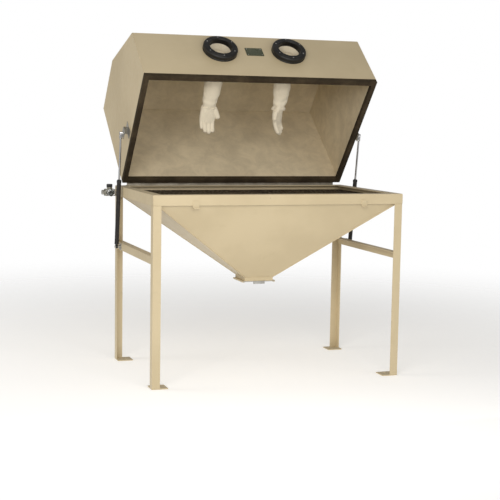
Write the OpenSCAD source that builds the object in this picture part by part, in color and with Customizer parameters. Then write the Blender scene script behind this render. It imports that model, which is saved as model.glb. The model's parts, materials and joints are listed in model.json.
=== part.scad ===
// Top-opening sandblast cabinet on an angle-iron stand.
// +Z up, +X to the right of someone facing the arm ports, front towards -Y.
// Origin: on the floor, in the middle of the machine with its lid open.

/* [Lid] */
// Width of the lid over its side panels
lid_w = 1220; // [1100:10:1300]
// Depth of the lid, front to back
lid_d = 700; // [660:10:740]
// Height of the lid's rear wall
rear_h = 570; // [540:10:600]
// Depth of the flat top
top_d = 330; // [300:10:340]
// Height of the front panel that carries the arm ports
front_h = 315; // [300:5:330]
// Angle of the lid above its closed place
open_deg = 50; // [40:1:52]
// Thickness of the sheet steel
sheet = 2; // [1.5:0.5:3]

/* [Rim] */
// Width of the rim over its side rails
rim_w = 1270; // [1250:10:1300]
// Rim ahead of the lid's front panel
rim_front_over = 38; // [30:1:60]
// Rim behind the hinge line
rim_rear_over = 25; // [22:1:30]
// Height of the rim's top face above the floor
rim_h = 913; // [880:1:1000]
// Size of the rail angle iron
angle_size = 50; // [45:1:55]
// Size of the leg angle iron
leg_size = 40; // [38:1:50]
// Thickness of the rail and leg angle iron
angle_t = 4; // [3:1:5]

/* [Hopper] */
// Drop from the rim's top face to the hopper's outlet
hopper_drop = 438; // [420:1:470]
// Side of the square outlet
outlet = 150; // [130:5:170]

/* [Arm ports] */
// Half of the distance between the two ports
port_x = 183; // [170:1:200]
// Height of the port centres above the lid's lower edge
port_z = 192; // [185:1:196]
// Outside radius of the port ring
port_r = 88; // [84:1:92]
// Clear radius through the port
port_bore_r = 58; // [54:1:62]
// How far the ring stands proud
port_proud = 32; // [28:1:36]

/* [Hidden] */
$fn = 48;
eps = 0.01;

// Levels and places
seal_t = 25;
seal_w = 25;
hinge_gap = 7;                       // rear wall ahead of the hinge axis
hinge_z = rim_h + seal_t;
rear_reach = lid_reach(rear_h);      // how far the open lid stands behind the hinge axis
front_reach = hinge_gap + lid_d + rim_front_over;
hinge_y = (front_reach - rear_reach) / 2;
rim_y0 = hinge_y - front_reach;      // front face of the rim
rim_y1 = hinge_y + rim_rear_over;    // rear face of the rim
rim_d = rim_y1 - rim_y0;
rim_z0 = rim_h - angle_size;         // lower edge of the rim rails

// Feet and leg braces
foot_t = 5;
foot_size = 80;
anchor_r = 6.5;
anchor_in = 48;                      // anchor holes in from the feet's outer edges
brace_size = 38;

// Hopper
hop_z1 = rim_z0 + 15;
hop_z0 = rim_h - hopper_drop;
collar_h = 20;
outlet_y = (rim_y0 + rim_y1) / 2;
hop_x = rim_w / 2 - angle_t;
hop_y = rim_d / 2 - angle_t;
hop_run_x = hop_x - outlet / 2;
hop_run_y = hop_y - outlet / 2;
hop_h = hop_z1 - hop_z0;
hop_in_x = sheet * sqrt(hop_run_x ^ 2 + hop_h ^ 2) / hop_h;
hop_in_y = sheet * sqrt(hop_run_y ^ 2 + hop_h ^ 2) / hop_h;

guide_w = 12;
gate_t = 3;
gate_handle = [60, 14];

// Dust spigot
dust_x = 330;
dust_r = 38;
dust_z = rim_z0 - 62;
dust_len = 60;                       // behind the bead, for the hose
dust_in = 85;                        // from the rim's rear face into the hopper
bead_w = 6;
bead_h = 4;

// Media pickup tube
pickup_at = [-38, outlet_y - 30, hop_z0 + 25];
pickup_len = 270;
pickup_r = 13;
pickup_bore_r = 10.5;
stay_w = 8;
stay_z = [hop_z0 + 60, hop_z0 + 66];

// Grate
grate_z = rim_h - 25;                // top of the bars
grate_t = 6;
bar_pitch = 24;
grate_bar = 5;
grate_cross = 12;
ledge = 25;
ledge_t = 3;
grate_x = hop_x - ledge_t - 2;

// Hinge
knuckle_r = 6;
hinge_pin_r = 3;
hinge_len = 1160;
knuckles = 20;
knuckle_len = hinge_len / knuckles;
leaf_t = 2;

// Gas struts: pivots as [y, z] from the hinge axis, the lid's with the lid closed
strut_x = 653;
strut_low = [-86, -333];
strut_high_closed = [-300, 30];
strut_high = turned(strut_high_closed, open_deg);
strut_open = norm(strut_high - strut_low);
strut_lean = atan2(strut_low[0] - strut_high[0], strut_high[1] - strut_low[1]);
strut_tube_r = 11;
strut_tube_len = 345;
strut_rod_r = 5;
strut_pin_r = 4;
strut_eye_r = 9;
strut_eye_w = 10;
rod_foot = strut_tube_len - 55;      // how far down the tube the rod's piston stands
stud_x = strut_x - 11.5;             // inner end of the ball stud
brace_z = hinge_z + strut_low[1];

// Lid outline seen from the side, as [y, z] from the hinge axis with the lid closed
rear_foot = [-hinge_gap, 0];
rear_top = [-hinge_gap, rear_h];
slope_top = [-hinge_gap - top_d, rear_h];
slope_foot = [-hinge_gap - lid_d, front_h];
front_foot = [-hinge_gap - lid_d, 0];
slope_deg = atan2(rear_h - front_h, lid_d - top_d);
slope_mid = (slope_top + slope_foot) / 2;
inner_x = lid_w / 2 - sheet;
lip = 25;

// Window
glass = [600, 295, 6];
window_hole = [560, 255];
frame_size = [640, 335];
frame_t = 3;
gasket_t = 3;
screw_in = 12;
screw_r = 5;
screw_h = 3;

// Light
lamp_len = 620;
lamp_w = 60;
lamp_h = 38;
lamp_r = 10;
lamp_end = 25;
lamp_y = slope_top[0] + 40;

// Arm ports and gloves; y runs into the lid from the front panel's outer face
port_neck_r = port_bore_r + 4;
port_edge_r = 9;
neck_len = 34;
clamp_w = 12;
clamp_y = neck_len - clamp_w - 4;
clamp_t = 1.2;
cuff_t = 2;
sleeve_wall = 6;
elbow_y = 110;
wrist_y = 250;
hang = 27;
plate_size = [92, 62];
plate_t = 1.5;

// Running and fixed clearances
run_gap = 0.05;
gap = 0.4;

// Lugs on the front rail
lug_x = 430;
lug_w = 28;
lug_out = 16;
lug_hole_r = 4;

// Blast gun, held on the lid's left wall
gun_at = [-inner_x + 36, -300, 400];
gun_r = 16;
gun_barb_y = -30;
trigger_at = [0, 44, -23];
trigger_pin_r = 2;

// Regulator at the left rear and switch box at the right rear
reg_size = 50;
reg_x = -rim_w / 2 - 12;
reg_y = rim_y1 - angle_size / 2;
reg_z = rim_h - 30;
reg_port_z = reg_z - 4;
reg_stem_r = 4;
gauge_r = 19;
box_size = [62, 70, 90];
box_wall = 3;
box_z = rim_z0 - 20;
box_mid_x = rim_w / 2 + box_size[0] / 2;
rocker_y = rim_y1 - box_size[1] + 6;
rocker_r = 3;

function turned(p, a) = [p[0] * cos(a) + p[1] * sin(a), -p[0] * sin(a) + p[1] * cos(a)];
function down(y) = -(y - 90) * tan(hang);
function lid_reach(h) = turned([-hinge_gap, h], open_deg)[0];
// Corner of the sheet's inner face, from the unit normals of its two neighbours
function inner_corner(p, n1, n2) = p + sheet * (n1 + n2) / (1 + n1 * n2);

n_rear = [-1, 0];
n_top = [0, -1];
n_slope = [sin(slope_deg), -cos(slope_deg)];
n_front = [1, 0];
rear_top_in = inner_corner(rear_top, n_rear, n_top);
slope_top_in = inner_corner(slope_top, n_top, n_slope);
slope_foot_in = inner_corner(slope_foot, n_slope, n_front);

// ---------- Helpers ----------

// Puts geometry given from the hinge axis, lid closed, in its open place
module on_lid() {
    translate([0, hinge_y, hinge_z]) rotate([-open_deg, 0, 0]) children();
}

// Extrudes a [y, z] outline along X, centred
module along_x(width, outline) {
    translate([-width / 2, 0, 0]) rotate([90, 0, 90]) linear_extrude(width) polygon(outline);
}

// Cylinder along X from x0
module rod_x(x0, length, r) {
    translate([x0, 0, 0]) rotate([0, 90, 0]) cylinder(h = length, r = r);
}

// Cylinder along +Y from y0
module rod_y(y0, length, r) {
    translate([0, y0 + length, 0]) rotate([90, 0, 0]) cylinder(h = length, r = r);
}

// Block from its low corner to its high corner
module block(low, high) {
    translate(low) cube(high - low);
}

// Places children on the sloping window panel: Z out of the lid, origin mid panel
module on_slope() {
    on_lid() translate([0, slope_mid[0], slope_mid[1]]) rotate([slope_deg, 0, 0]) children();
}

// Places children on an arm port: Y into the lid from the panel's outer face
module on_port(side) {
    on_lid() translate([side * port_x, front_foot[0], port_z]) children();
}

// ---------- Stand ----------

module leg(side, end_y, inward) {
    color("wheat") translate([side * rim_w / 2, end_y, 0]) mirror([side > 0 ? 1 : 0, 0, 0])
        mirror([0, inward > 0 ? 0 : 1, 0]) translate([0, 0, foot_t]) difference() {
            cube([leg_size, leg_size, rim_z0 - foot_t]);
            translate([angle_t, angle_t, -1]) cube([leg_size, leg_size, rim_z0 + 2]);
        }
}
module leg_front_left() { leg(-1, rim_y0, 1); }
module leg_front_right() { leg(1, rim_y0, 1); }
module leg_rear_left() { leg(-1, rim_y1, -1); }
module leg_rear_right() { leg(1, rim_y1, -1); }

module foot_plates() {
    color("wheat") for (side = [-1, 1], end = [-1, 1]) {
        corner_y = end < 0 ? rim_y0 : rim_y1;
        difference() {
            block([side > 0 ? rim_w / 2 - foot_size : -rim_w / 2,
                    end > 0 ? corner_y - foot_size : corner_y, 0],
                [side > 0 ? rim_w / 2 : -rim_w / 2 + foot_size,
                    end > 0 ? corner_y : corner_y + foot_size, foot_t]);
            translate([side * (rim_w / 2 - anchor_in), corner_y - end * anchor_in, -1])
                cylinder(h = foot_t + 2, r = anchor_r);
        }
    }
}

module side_braces() {
    color("wheat") for (side = [0, 1]) mirror([side, 0, 0]) {
        outer = rim_w / 2 - angle_t;
        difference() {
            block([outer - brace_size, rim_y0 + angle_t, brace_z - brace_size / 2],
                [outer, rim_y1 - angle_t, brace_z + brace_size / 2]);
            block([outer - brace_size - 1, rim_y0, brace_z - brace_size],
                [outer - angle_t, rim_y1, brace_z + brace_size / 2 - angle_t]);
        }
    }
}

// ---------- Rim ----------

// Angle rail with its flat on top: outline as [across, z], 0 at the outer face
module rail(length) {
    rotate([90, 0, 90]) linear_extrude(length) polygon([[0, rim_z0], [angle_t, rim_z0],
        [angle_t, rim_h - angle_t], [angle_size, rim_h - angle_t], [angle_size, rim_h], [0, rim_h]]);
}
module rim_front() { color("wheat") translate([-rim_w / 2, rim_y0, 0]) rail(rim_w); }
module rim_rear() { color("wheat") translate([-rim_w / 2, rim_y1, 0]) mirror([0, 1, 0]) rail(rim_w); }
module rim_side() {
    translate([-rim_w / 2, rim_y1 - angle_size, 0]) rotate([0, 0, -90]) rail(rim_d - 2 * angle_size);
    for (y = [rim_y0 + angle_t, rim_y1 - angle_size])
        block([-rim_w / 2, y, rim_z0], [-rim_w / 2 + angle_t, y + angle_size - angle_t, rim_h - angle_t]);
}
module rim_left() { color("wheat") rim_side(); }
module rim_right() { color("wheat") mirror([1, 0, 0]) rim_side(); }

// ---------- Hopper ----------

// Panel of an inverted pyramid; x and y are half sizes at the top, corners mitred
module hopper_panel(along, across, in_along, in_across) {
    b = outlet / 2;
    polyhedron(points = [
        [-along, -across, hop_z1], [along, -across, hop_z1], [b, -b, hop_z0], [-b, -b, hop_z0],
        [-along + in_along, -across + in_across, hop_z1], [along - in_along, -across + in_across, hop_z1],
        [b - in_along, -b + in_across, hop_z0], [-b + in_along, -b + in_across, hop_z0]],
        faces = [[0, 1, 2, 3], [7, 6, 5, 4], [0, 4, 5, 1], [1, 5, 6, 2], [2, 6, 7, 3], [3, 7, 4, 0]]);
}
module hopper_front() {
    color("wheat") translate([0, outlet_y, 0]) hopper_panel(hop_x, hop_y, hop_in_x, hop_in_y);
}
module hopper_rear() {
    color("wheat") difference() {
        translate([0, outlet_y, 0]) mirror([0, 1, 0]) hopper_panel(hop_x, hop_y, hop_in_x, hop_in_y);
        translate([dust_x, 0, dust_z]) rod_y(rim_y1 - 200, 250, dust_r + eps);
    }
}
module hopper_side() {
    translate([0, outlet_y, 0]) rotate([0, 0, -90]) hopper_panel(hop_y, hop_x, hop_in_y, hop_in_x);
}
module hopper_left() { color("wheat") hopper_side(); }
module hopper_right() { color("wheat") mirror([1, 0, 0]) hopper_side(); }

module dust_spigot() {
    color("wheat") translate([dust_x, 0, dust_z]) difference() {
        union() {
            rod_y(rim_y1 - dust_in, dust_in + dust_len, dust_r);
            rod_y(rim_y1 - bead_w, bead_w, dust_r + bead_h);
        }
        rod_y(rim_y1 - dust_in - 1, dust_in + dust_len + 2, dust_r - sheet);
    }
}

module grate_ledges() {
    color("wheat") for (side = [0, 1]) mirror([side, 0, 0]) {
        outer = hop_x;
        low = grate_z - grate_t - ledge_t;
        difference() {
            block([outer - ledge, rim_y0 + angle_t + 1, low], [outer, rim_y1 - angle_t - 1, rim_h - angle_t]);
            block([outer - ledge - 1, rim_y0, low + ledge_t], [outer - ledge_t, rim_y1, rim_h]);
        }
    }
}

module work_grate(x0, x1) {
    y0 = rim_y0 + angle_t + 3;
    y1 = rim_y1 - angle_t - 3;
    z0 = grate_z - grate_t;
    bars = floor((x1 - x0) / bar_pitch);
    pitch = (x1 - x0 - grate_bar) / bars;
    color("dimgray") {
        for (i = [0 : bars]) block([x0 + i * pitch, y0, z0], [x0 + i * pitch + grate_bar, y1, grate_z]);
        for (y = [y0, (y0 + y1) / 2 - grate_cross / 2, y1 - grate_cross])
            block([x0, y, z0], [x1, y + grate_cross, grate_z]);
    }
}
module work_grate_left() { work_grate(-grate_x, -1); }
module work_grate_right() { work_grate(1, grate_x); }

// Outlet collar with the two folded guides that carry the gate
module outlet_collar() {
    half = outlet / 2;
    z0 = hop_z0 - collar_h;
    color("wheat") translate([0, outlet_y, 0]) {
        difference() {
            block([-half, -half, z0], [half, half, hop_z0]);
            block([-half + sheet, -half + sheet, z0 - 1], [half - sheet, half - sheet, hop_z0 + 1]);
        }
        for (side = [0, 1]) mirror([side, 0, 0]) difference() {
            block([half - eps, -half, z0 - gate_t - sheet - 2 * gap], [half + guide_w, half, z0 + sheet]);
            block([half - 1, -half - 1, z0 - gate_t - 2 * gap], [half + guide_w - sheet, half + 1, z0]);
        }
    }
}
module slide_gate() {
    half = outlet / 2;
    z1 = hop_z0 - collar_h - gap;
    wide = half + guide_w - sheet - gap;
    color("silver") translate([0, outlet_y, 0]) {
        block([-wide, -half, z1 - gate_t], [wide, half, z1]);
        block([-gate_handle[0] / 2, -half - gate_t, z1 - gate_handle[1]], [gate_handle[0] / 2, -half, z1]);
    }
}

module pickup_tube() {
    x1 = pickup_at[0] - pickup_r + 0.1;
    color("silver") translate(pickup_at) difference() {
        cylinder(h = pickup_len, r = pickup_r);
        translate([0, 0, -1]) cylinder(h = pickup_len + 2, r = pickup_bore_r);
    }
    color("silver")
        block([x1 - 55, pickup_at[1] - stay_w / 2, stay_z[0]], [x1, pickup_at[1] + stay_w / 2, stay_z[1]]);
}

// ---------- Hinge ----------

module knuckle_row(first) {
    for (i = [first : 2 : knuckles - 1])
        rod_x(-hinge_len / 2 + i * knuckle_len + gap / 2, knuckle_len - gap, knuckle_r);
}
module hinge_leaf_rim() {
    color("silver") translate([0, hinge_y, hinge_z]) difference() {
        union() {
            knuckle_row(0);
            block([-hinge_len / 2, 0, -seal_t], [hinge_len / 2, rim_rear_over - 2, -seal_t + leaf_t]);
            block([-hinge_len / 2, 0, -seal_t], [hinge_len / 2, leaf_t, -knuckle_r - gap]);
            for (i = [0 : 2 : knuckles - 1])
                block([-hinge_len / 2 + i * knuckle_len + gap, 0, -knuckle_r - 1],
                    [-hinge_len / 2 + (i + 1) * knuckle_len - gap, knuckle_r - 1, 0]);
        }
        rod_x(-hinge_len, 2 * hinge_len, hinge_pin_r);
    }
}
module hinge_leaf_lid() {
    color("silver") on_lid() difference() {
        union() {
            knuckle_row(1);
            block([-hinge_len / 2, -hinge_gap, 8], [hinge_len / 2, -hinge_gap + leaf_t, 40]);
            for (i = [1 : 2 : knuckles - 1])
                block([-hinge_len / 2 + i * knuckle_len + gap, -hinge_gap, 0],
                    [-hinge_len / 2 + (i + 1) * knuckle_len - gap, -hinge_gap + leaf_t + 1, 9]);
        }
        rod_x(-hinge_len, 2 * hinge_len, hinge_pin_r + run_gap);
    }
}
module hinge_pin() {
    color("dimgray") translate([0, hinge_y, hinge_z]) rod_x(-hinge_len / 2, hinge_len, hinge_pin_r);
}

// ---------- Lid shell ----------

module lid_side() {
    rotate([90, 0, 90]) translate([0, 0, inner_x]) linear_extrude(sheet)
        polygon([rear_foot, rear_top, slope_top, slope_foot, front_foot]);
    block([inner_x - lip + sheet, front_foot[0] + lip, 0], [inner_x + eps, -hinge_gap - lip, sheet]);
}
module lid_side_right() { color("wheat") on_lid() lid_side(); }
module lid_side_left() { color("wheat") on_lid() mirror([1, 0, 0]) lid_side(); }

module lid_rear() {
    y = -hinge_gap;
    color("wheat") on_lid() along_x(2 * inner_x, [rear_foot, rear_top, rear_top_in,
        [y - sheet, sheet], [y - lip, sheet], [y - lip, 0]]);
}
module lid_top() {
    color("wheat") on_lid() along_x(2 * inner_x, [rear_top, slope_top, slope_top_in, rear_top_in]);
}
module lid_window_panel() {
    color("wheat") difference() {
        on_lid() along_x(2 * inner_x, [slope_top, slope_foot, slope_foot_in, slope_top_in]);
        on_slope() cube([window_hole[0], window_hole[1], 40], center = true);
    }
}
module lid_front() {
    y = front_foot[0];
    color("wheat") on_lid() difference() {
        along_x(2 * inner_x, [front_foot, slope_foot, slope_foot_in,
            [y + sheet, sheet], [y + lip, sheet], [y + lip, 0]]);
        for (side = [-1, 1]) translate([side * port_x, 0, port_z]) rod_y(y - 5, 10, port_neck_r);
    }
}

module lid_seal() {
    half = lid_w / 2;
    color("black") on_lid() difference() {
        block([-half, front_foot[0], -seal_t + gap], [half, -hinge_gap, 0]);
        block([-half + seal_w, front_foot[0] + seal_w, -seal_t - 1], [half - seal_w, -hinge_gap - seal_w, 1]);
    }
}

// ---------- Window ----------

module window_gasket() {
    color("black") on_slope() difference() {
        translate([0, 0, gasket_t / 2]) cube([glass[0], glass[1], gasket_t], center = true);
        cube([window_hole[0], window_hole[1], 40], center = true);
    }
}
module window_glass() {
    color("lightblue") on_slope() translate([0, 0, gasket_t + glass[2] / 2]) cube(glass, center = true);
}
module window_frame() {
    high = gasket_t + glass[2];
    color("wheat") on_slope() difference() {
        translate([0, 0, (high + frame_t) / 2])
            cube([frame_size[0], frame_size[1], high + frame_t], center = true);
        translate([0, 0, high / 2 - 1]) cube([glass[0] + 2, glass[1] + 2, high + 2], center = true);
        cube([window_hole[0], window_hole[1], 80], center = true);
    }
}
module frame_screws() {
    top = gasket_t + glass[2] + frame_t;
    dx = frame_size[0] / 2 - screw_in;
    dy = frame_size[1] / 2 - screw_in;
    color("silver") on_slope() {
        for (i = [-2 : 2], side = [-1, 1])
            translate([i * dx / 2, side * dy, top]) cylinder(h = screw_h, r = screw_r);
        for (side = [-1, 1]) translate([side * dx, 0, top]) cylinder(h = screw_h, r = screw_r);
    }
}

// ---------- Light ----------

module light_housing() {
    z1 = rear_h - sheet;
    color("whitesmoke") on_lid() difference() {
        block([-lamp_len / 2, lamp_y - lamp_w / 2, z1 - lamp_h], [lamp_len / 2, lamp_y + lamp_w / 2, z1]);
        block([-lamp_len / 2 + lamp_end, lamp_y - lamp_w / 2 + 3, z1 - lamp_h - 1],
            [lamp_len / 2 - lamp_end, lamp_y + lamp_w / 2 - 3, z1 - 4]);
    }
}
module lamp_tube() {
    color("white") on_lid() translate([0, lamp_y, rear_h - sheet - lamp_h / 2])
        rod_x(-lamp_len / 2 + lamp_end, lamp_len - 2 * lamp_end, lamp_r);
}

// ---------- Arm ports and gloves ----------

module port_ring() {
    rotate([90, 0, 0]) rotate_extrude() {
        difference() {
            translate([port_bore_r, 0]) square([port_r - port_bore_r, port_proud]);
            translate([port_r - port_edge_r, port_proud - port_edge_r]) difference() {
                square(port_edge_r + 1);
                circle(r = port_edge_r);
            }
        }
        translate([port_bore_r, -neck_len]) square([port_neck_r - port_bore_r, neck_len]);
    }
}
module port_ring_left() { color("black") on_port(-1) port_ring(); }
module port_ring_right() { color("black") on_port(1) port_ring(); }

module glove_clamps() {
    color("silver") for (side = [-1, 1]) on_port(side) difference() {
        union() {
            rod_y(clamp_y, clamp_w, port_neck_r + cuff_t + clamp_t);
            block([-9, clamp_y, port_neck_r + cuff_t], [9, clamp_y + clamp_w, port_neck_r + cuff_t + 11]);
        }
        rod_y(0, neck_len, port_neck_r + cuff_t);
    }
}

// Glove hanging from its port: a sleeve, a wrist and a hand, with the thumb on the inner side
module blob(x, y, z, rx, ry, rz) {
    translate([x, y, z]) scale([rx, ry, rz] / 10) sphere(r = 10, $fn = 20);
}
module sleeve_top(r) { translate([0, neck_len, 0]) rod_y(0, 2, r, $fn = 32); }
module sleeve_mid(inset) {
    translate([0, elbow_y, down(elbow_y)]) scale([1, 1, 0.7]) rod_y(0, 2, 50 - inset, $fn = 32);
}
module glove(side) {
    color("cornsilk") on_port(side) {
        difference() {
            rod_y(neck_len - 24, 26, port_neck_r + cuff_t);
            rod_y(neck_len - 30, 30, port_neck_r);
        }
        difference() {
            union() {
                hull() { sleeve_top(port_neck_r + cuff_t); sleeve_mid(0); }
                hull() { sleeve_mid(0); blob(0, wrist_y, down(wrist_y), 38, 22, 24); }
            }
            translate([0, -1, 0]) hull() { sleeve_top(port_bore_r); sleeve_mid(sleeve_wall); }
            hull() { sleeve_mid(sleeve_wall); blob(0, 200, down(200), 36, 10, 20); }
        }
        hull() {
            blob(0, wrist_y, down(wrist_y), 38, 22, 24);
            blob(0, 320, down(320), 48, 24, 20);
            blob(0, 395, down(395), 40, 14, 13);
        }
        hull() {
            blob(-side * 30, 300, down(300), 18, 18, 14);
            blob(-side * 58, 345, down(345), 12, 14, 12);
        }
    }
}
module glove_left() { glove(-1); }
module glove_right() { glove(1); }

module nameplate() {
    y = front_foot[0];
    color("darkolivegreen") on_lid() {
        block([-plate_size[0] / 2, y - plate_t, port_z - plate_size[1] / 2],
            [plate_size[0] / 2, y, port_z + plate_size[1] / 2]);
        for (sx = [-1, 1], sz = [-1, 1])
            translate([sx * (plate_size[0] / 2 - 6), 0, port_z + sz * (plate_size[1] / 2 - 6)])
                rod_y(y - 2 * plate_t, 2, 2.5);
    }
}

// ---------- Gas struts ----------

// Puts children on a strut's lower pivot, Z along the strut; drawn for the right side
module on_strut(side) {
    mirror([side < 0 ? 1 : 0, 0, 0]) translate([strut_x, hinge_y + strut_low[0], hinge_z + strut_low[1]])
        rotate([strut_lean, 0, 0]) children();
}
module strut_tube() {
    difference() {
        union() {
            translate([0, 0, 14]) cylinder(h = strut_tube_len - 14, r = strut_tube_r);
            rod_x(-strut_eye_w / 2, strut_eye_w, strut_eye_r);
            block([-strut_eye_w / 2, -6, 0], [strut_eye_w / 2, 6, 16]);
        }
        rod_x(-20, 40, strut_pin_r + run_gap);
        translate([0, 0, 22]) cylinder(h = strut_tube_len - 32, r = strut_tube_r - 2);
        translate([0, 0, 22]) cylinder(h = strut_tube_len, r = strut_rod_r + run_gap);
    }
}
module strut_tube_left() { color("black") on_strut(-1) strut_tube(); }
module strut_tube_right() { color("black") on_strut(1) strut_tube(); }
module strut_rod() {
    translate([0, 0, rod_foot]) cylinder(h = strut_open - 8 - rod_foot, r = strut_rod_r);
    translate([0, 0, rod_foot]) cylinder(h = 12, r = strut_tube_r - 2.3);
    translate([0, 0, strut_open - 24]) cylinder(h = 16, r = 8);
    translate([0, 0, strut_open]) rod_x(-6, 12, strut_eye_r);
    translate([0, 0, strut_open]) rod_x(stud_x - strut_x, strut_x - stud_x, 5);
}
module strut_rod_left() { color("silver") on_strut(-1) strut_rod(); }
module strut_rod_right() { color("silver") on_strut(1) strut_rod(); }
module strut_feet() {
    y = hinge_y + strut_low[0];
    z = hinge_z + strut_low[1];
    x0 = rim_w / 2 - angle_t;
    color("silver") for (side = [0, 1]) mirror([side, 0, 0]) {
        block([x0, y - 18, z - 18], [x0 + 4, y + 18, z + 18]);
        translate([0, y, z]) {
            rod_x(x0, strut_x - strut_eye_w / 2 - gap - x0, 7);
            rod_x(x0, strut_x + strut_eye_w / 2 + 4 - x0, strut_pin_r);
            rod_x(strut_x + strut_eye_w / 2 + gap, 4, 7);
        }
    }
}
module strut_brackets() {
    p = strut_high_closed;
    x0 = lid_w / 2;
    x1 = stud_x - gap;
    color("silver") on_lid() for (side = [0, 1]) mirror([side, 0, 0]) {
        block([x0, p[0] - 24, p[1] - 18], [x0 + 3, p[0] + 24, p[1] + 62]);
        block([x0, p[0] - 24, p[1] + 18], [x1, p[0] + 24, p[1] + 21]);
        block([x1 - 3, p[0] - 24, p[1] - 18], [x1, p[0] + 24, p[1] + 21]);
    }
}

// ---------- Lugs ----------

// Two small angle lugs under the front rail's band, for a hook that holds the lid down
module front_lugs() {
    lug_t = 3;
    low = rim_z0 + 8;
    color("tan") for (side = [-1, 1]) translate([side * lug_x, 0, 0]) difference() {
        union() {
            block([-lug_w / 2, rim_y0 - lug_t, low - 22], [lug_w / 2, rim_y0, low + 14]);
            block([-lug_w / 2, rim_y0 - lug_out, low - 22], [lug_w / 2, rim_y0, low - 22 + lug_t]);
        }
        translate([0, rim_y0 - lug_out / 2 - 1, low - 30]) cylinder(h = 20, r = lug_hole_r);
    }
}

// ---------- Blast gun ----------

module on_gun() { on_lid() translate(gun_at) children(); }
module gun_clip() {
    color("silver") on_gun() for (y = [-10, 22]) {
        difference() {
            rod_y(y - 6, 12, gun_r + 2);
            rod_y(y - 7, 14, gun_r + run_gap);
            block([6, y - 8, -30], [30, y + 8, 30]);
        }
        block([-36, y - 6, -7], [-gun_r - 0.5, y + 6, 7]);
    }
}
module gun_body() {
    color("silver") on_gun() difference() {
        union() {
            rod_y(-50, 110, gun_r);
            translate([0, 58, -10]) rotate([14, 0, 0]) block([-12, -10, -105], [12, 16, 8]);
            translate([0, gun_barb_y, -gun_r - 24]) cylinder(h = 28, r = 9);
            translate([0, gun_barb_y, -gun_r - 44]) cylinder(h = 26, r = 7);
            rod_y(56, 18, 9);
            for (x = [-10, 6]) block([x, trigger_at[1] - 6, -29], [x + 4, trigger_at[1] + 12, -6]);
        }
        rod_y(-60, 80, 6);
    }
    color("silver") on_gun() translate(trigger_at) rod_x(-8, 16, trigger_pin_r);
}
module gun_nozzle() {
    color("ivory") on_gun() difference() {
        union() {
            rod_y(-66, 16, 13);
            rod_y(-95, 30, 8);
            rod_y(-51, 41, 5.9);
        }
        rod_y(-96, 90, 3.2);
    }
}
module gun_trigger() {
    color("dimgray") on_gun() translate(trigger_at) difference() {
        union() {
            rod_x(-4.5, 9, 4.5);
            rotate([-20, 0, 0]) block([-4.2, -3.5, -52], [4.2, 1.5, -2]);
        }
        rod_x(-20, 40, trigger_pin_r + run_gap);
    }
}

// ---------- Air regulator and switch box ----------

module regulator_body() {
    color("darkkhaki") {
        block([reg_x, reg_y - 20, reg_z - 22], [-rim_w / 2, reg_y + 20, reg_z - 16]);
        difference() {
            union() {
                block([reg_x - reg_size, reg_y - 20, reg_z - 22], [reg_x, reg_y + 20, reg_z + 12]);
                translate([reg_x - reg_size / 2, reg_y, reg_z + 12]) cylinder(h = 10, r = 14);
                translate([reg_x - reg_size / 2, reg_y, reg_port_z]) rod_y(-26, 8, 6);
                translate([0, reg_y, reg_port_z]) rod_x(reg_x - reg_size - 12, 12, 11);
            }
            translate([0, reg_y, reg_port_z]) rod_x(reg_x - reg_size - 13, 25, 6.6);
            translate([reg_x - reg_size / 2, reg_y, reg_z - 10]) cylinder(h = 40, r = reg_stem_r);
        }
    }
}
module regulator_gauge() {
    color("black") translate([reg_x - reg_size / 2, reg_y, reg_port_z]) difference() {
        rod_y(-44, 18, gauge_r);
        rod_y(-45, 4, gauge_r - 2);
    }
}
module regulator_knob() {
    color("black") translate([reg_x - reg_size / 2, reg_y, reg_z]) {
        translate([0, 0, -6]) cylinder(h = 30, r = reg_stem_r - run_gap);
        translate([0, 0, 22 + gap]) cylinder(h = 16, r = 15);
        for (i = [0 : 8]) rotate([0, 0, 40 * i]) translate([14.5, 0, 24 + gap]) cylinder(h = 12, r = 2);
    }
}
module switch_box() {
    low = [rim_w / 2, rim_y1 - box_size[1], box_z - box_size[2]];
    high = [rim_w / 2 + box_size[0], rim_y1, box_z];
    wall = [box_wall, box_wall, box_wall];
    color("gray") difference() {
        block(low, high);
        block(low + wall, high - wall);
        block([box_mid_x - 11, low[1] - 1, box_z - 58], [box_mid_x + 11, low[1] + box_wall + 1, box_z - 32]);
    }
    color("gray") translate([box_mid_x, rim_y1 - box_size[1] / 2, low[2] - 14]) difference() {
        cylinder(h = 14, r = 11);
        translate([0, 0, -1]) cylinder(h = 16, r = 5);
    }
}
module light_switch() {
    color("black") translate([box_mid_x, rocker_y, box_z - 45]) {
        rotate([8, 0, 0]) block([-10.4, -9, -11], [10.4, 0, 11]);
        rod_x(-10.6, 21.2, rocker_r);
    }
}

// ---------- Parts ----------

leg_front_left();
leg_front_right();
leg_rear_left();
leg_rear_right();
foot_plates();
side_braces();
rim_front();
rim_rear();
rim_left();
rim_right();
hopper_front();
hopper_rear();
hopper_left();
hopper_right();
grate_ledges();
work_grate_left();
work_grate_right();
outlet_collar();
slide_gate();
hinge_leaf_rim();
hinge_pin();
pickup_tube();
dust_spigot();
regulator_body();
regulator_gauge();
regulator_knob();
switch_box();
light_switch();
front_lugs();
strut_feet();
strut_tube_left();
strut_tube_right();
strut_rod_left();
strut_rod_right();
lid_side_left();
lid_side_right();
lid_rear();
lid_top();
lid_window_panel();
lid_front();
lid_seal();
hinge_leaf_lid();
window_gasket();
window_glass();
window_frame();
frame_screws();
light_housing();
lamp_tube();
port_ring_left();
port_ring_right();
glove_clamps();
glove_left();
glove_right();
nameplate();
strut_brackets();
gun_clip();
gun_body();
gun_nozzle();
gun_trigger();
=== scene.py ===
import json
import math

import bmesh
import bpy
from mathutils import Matrix, Vector, noise


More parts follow.
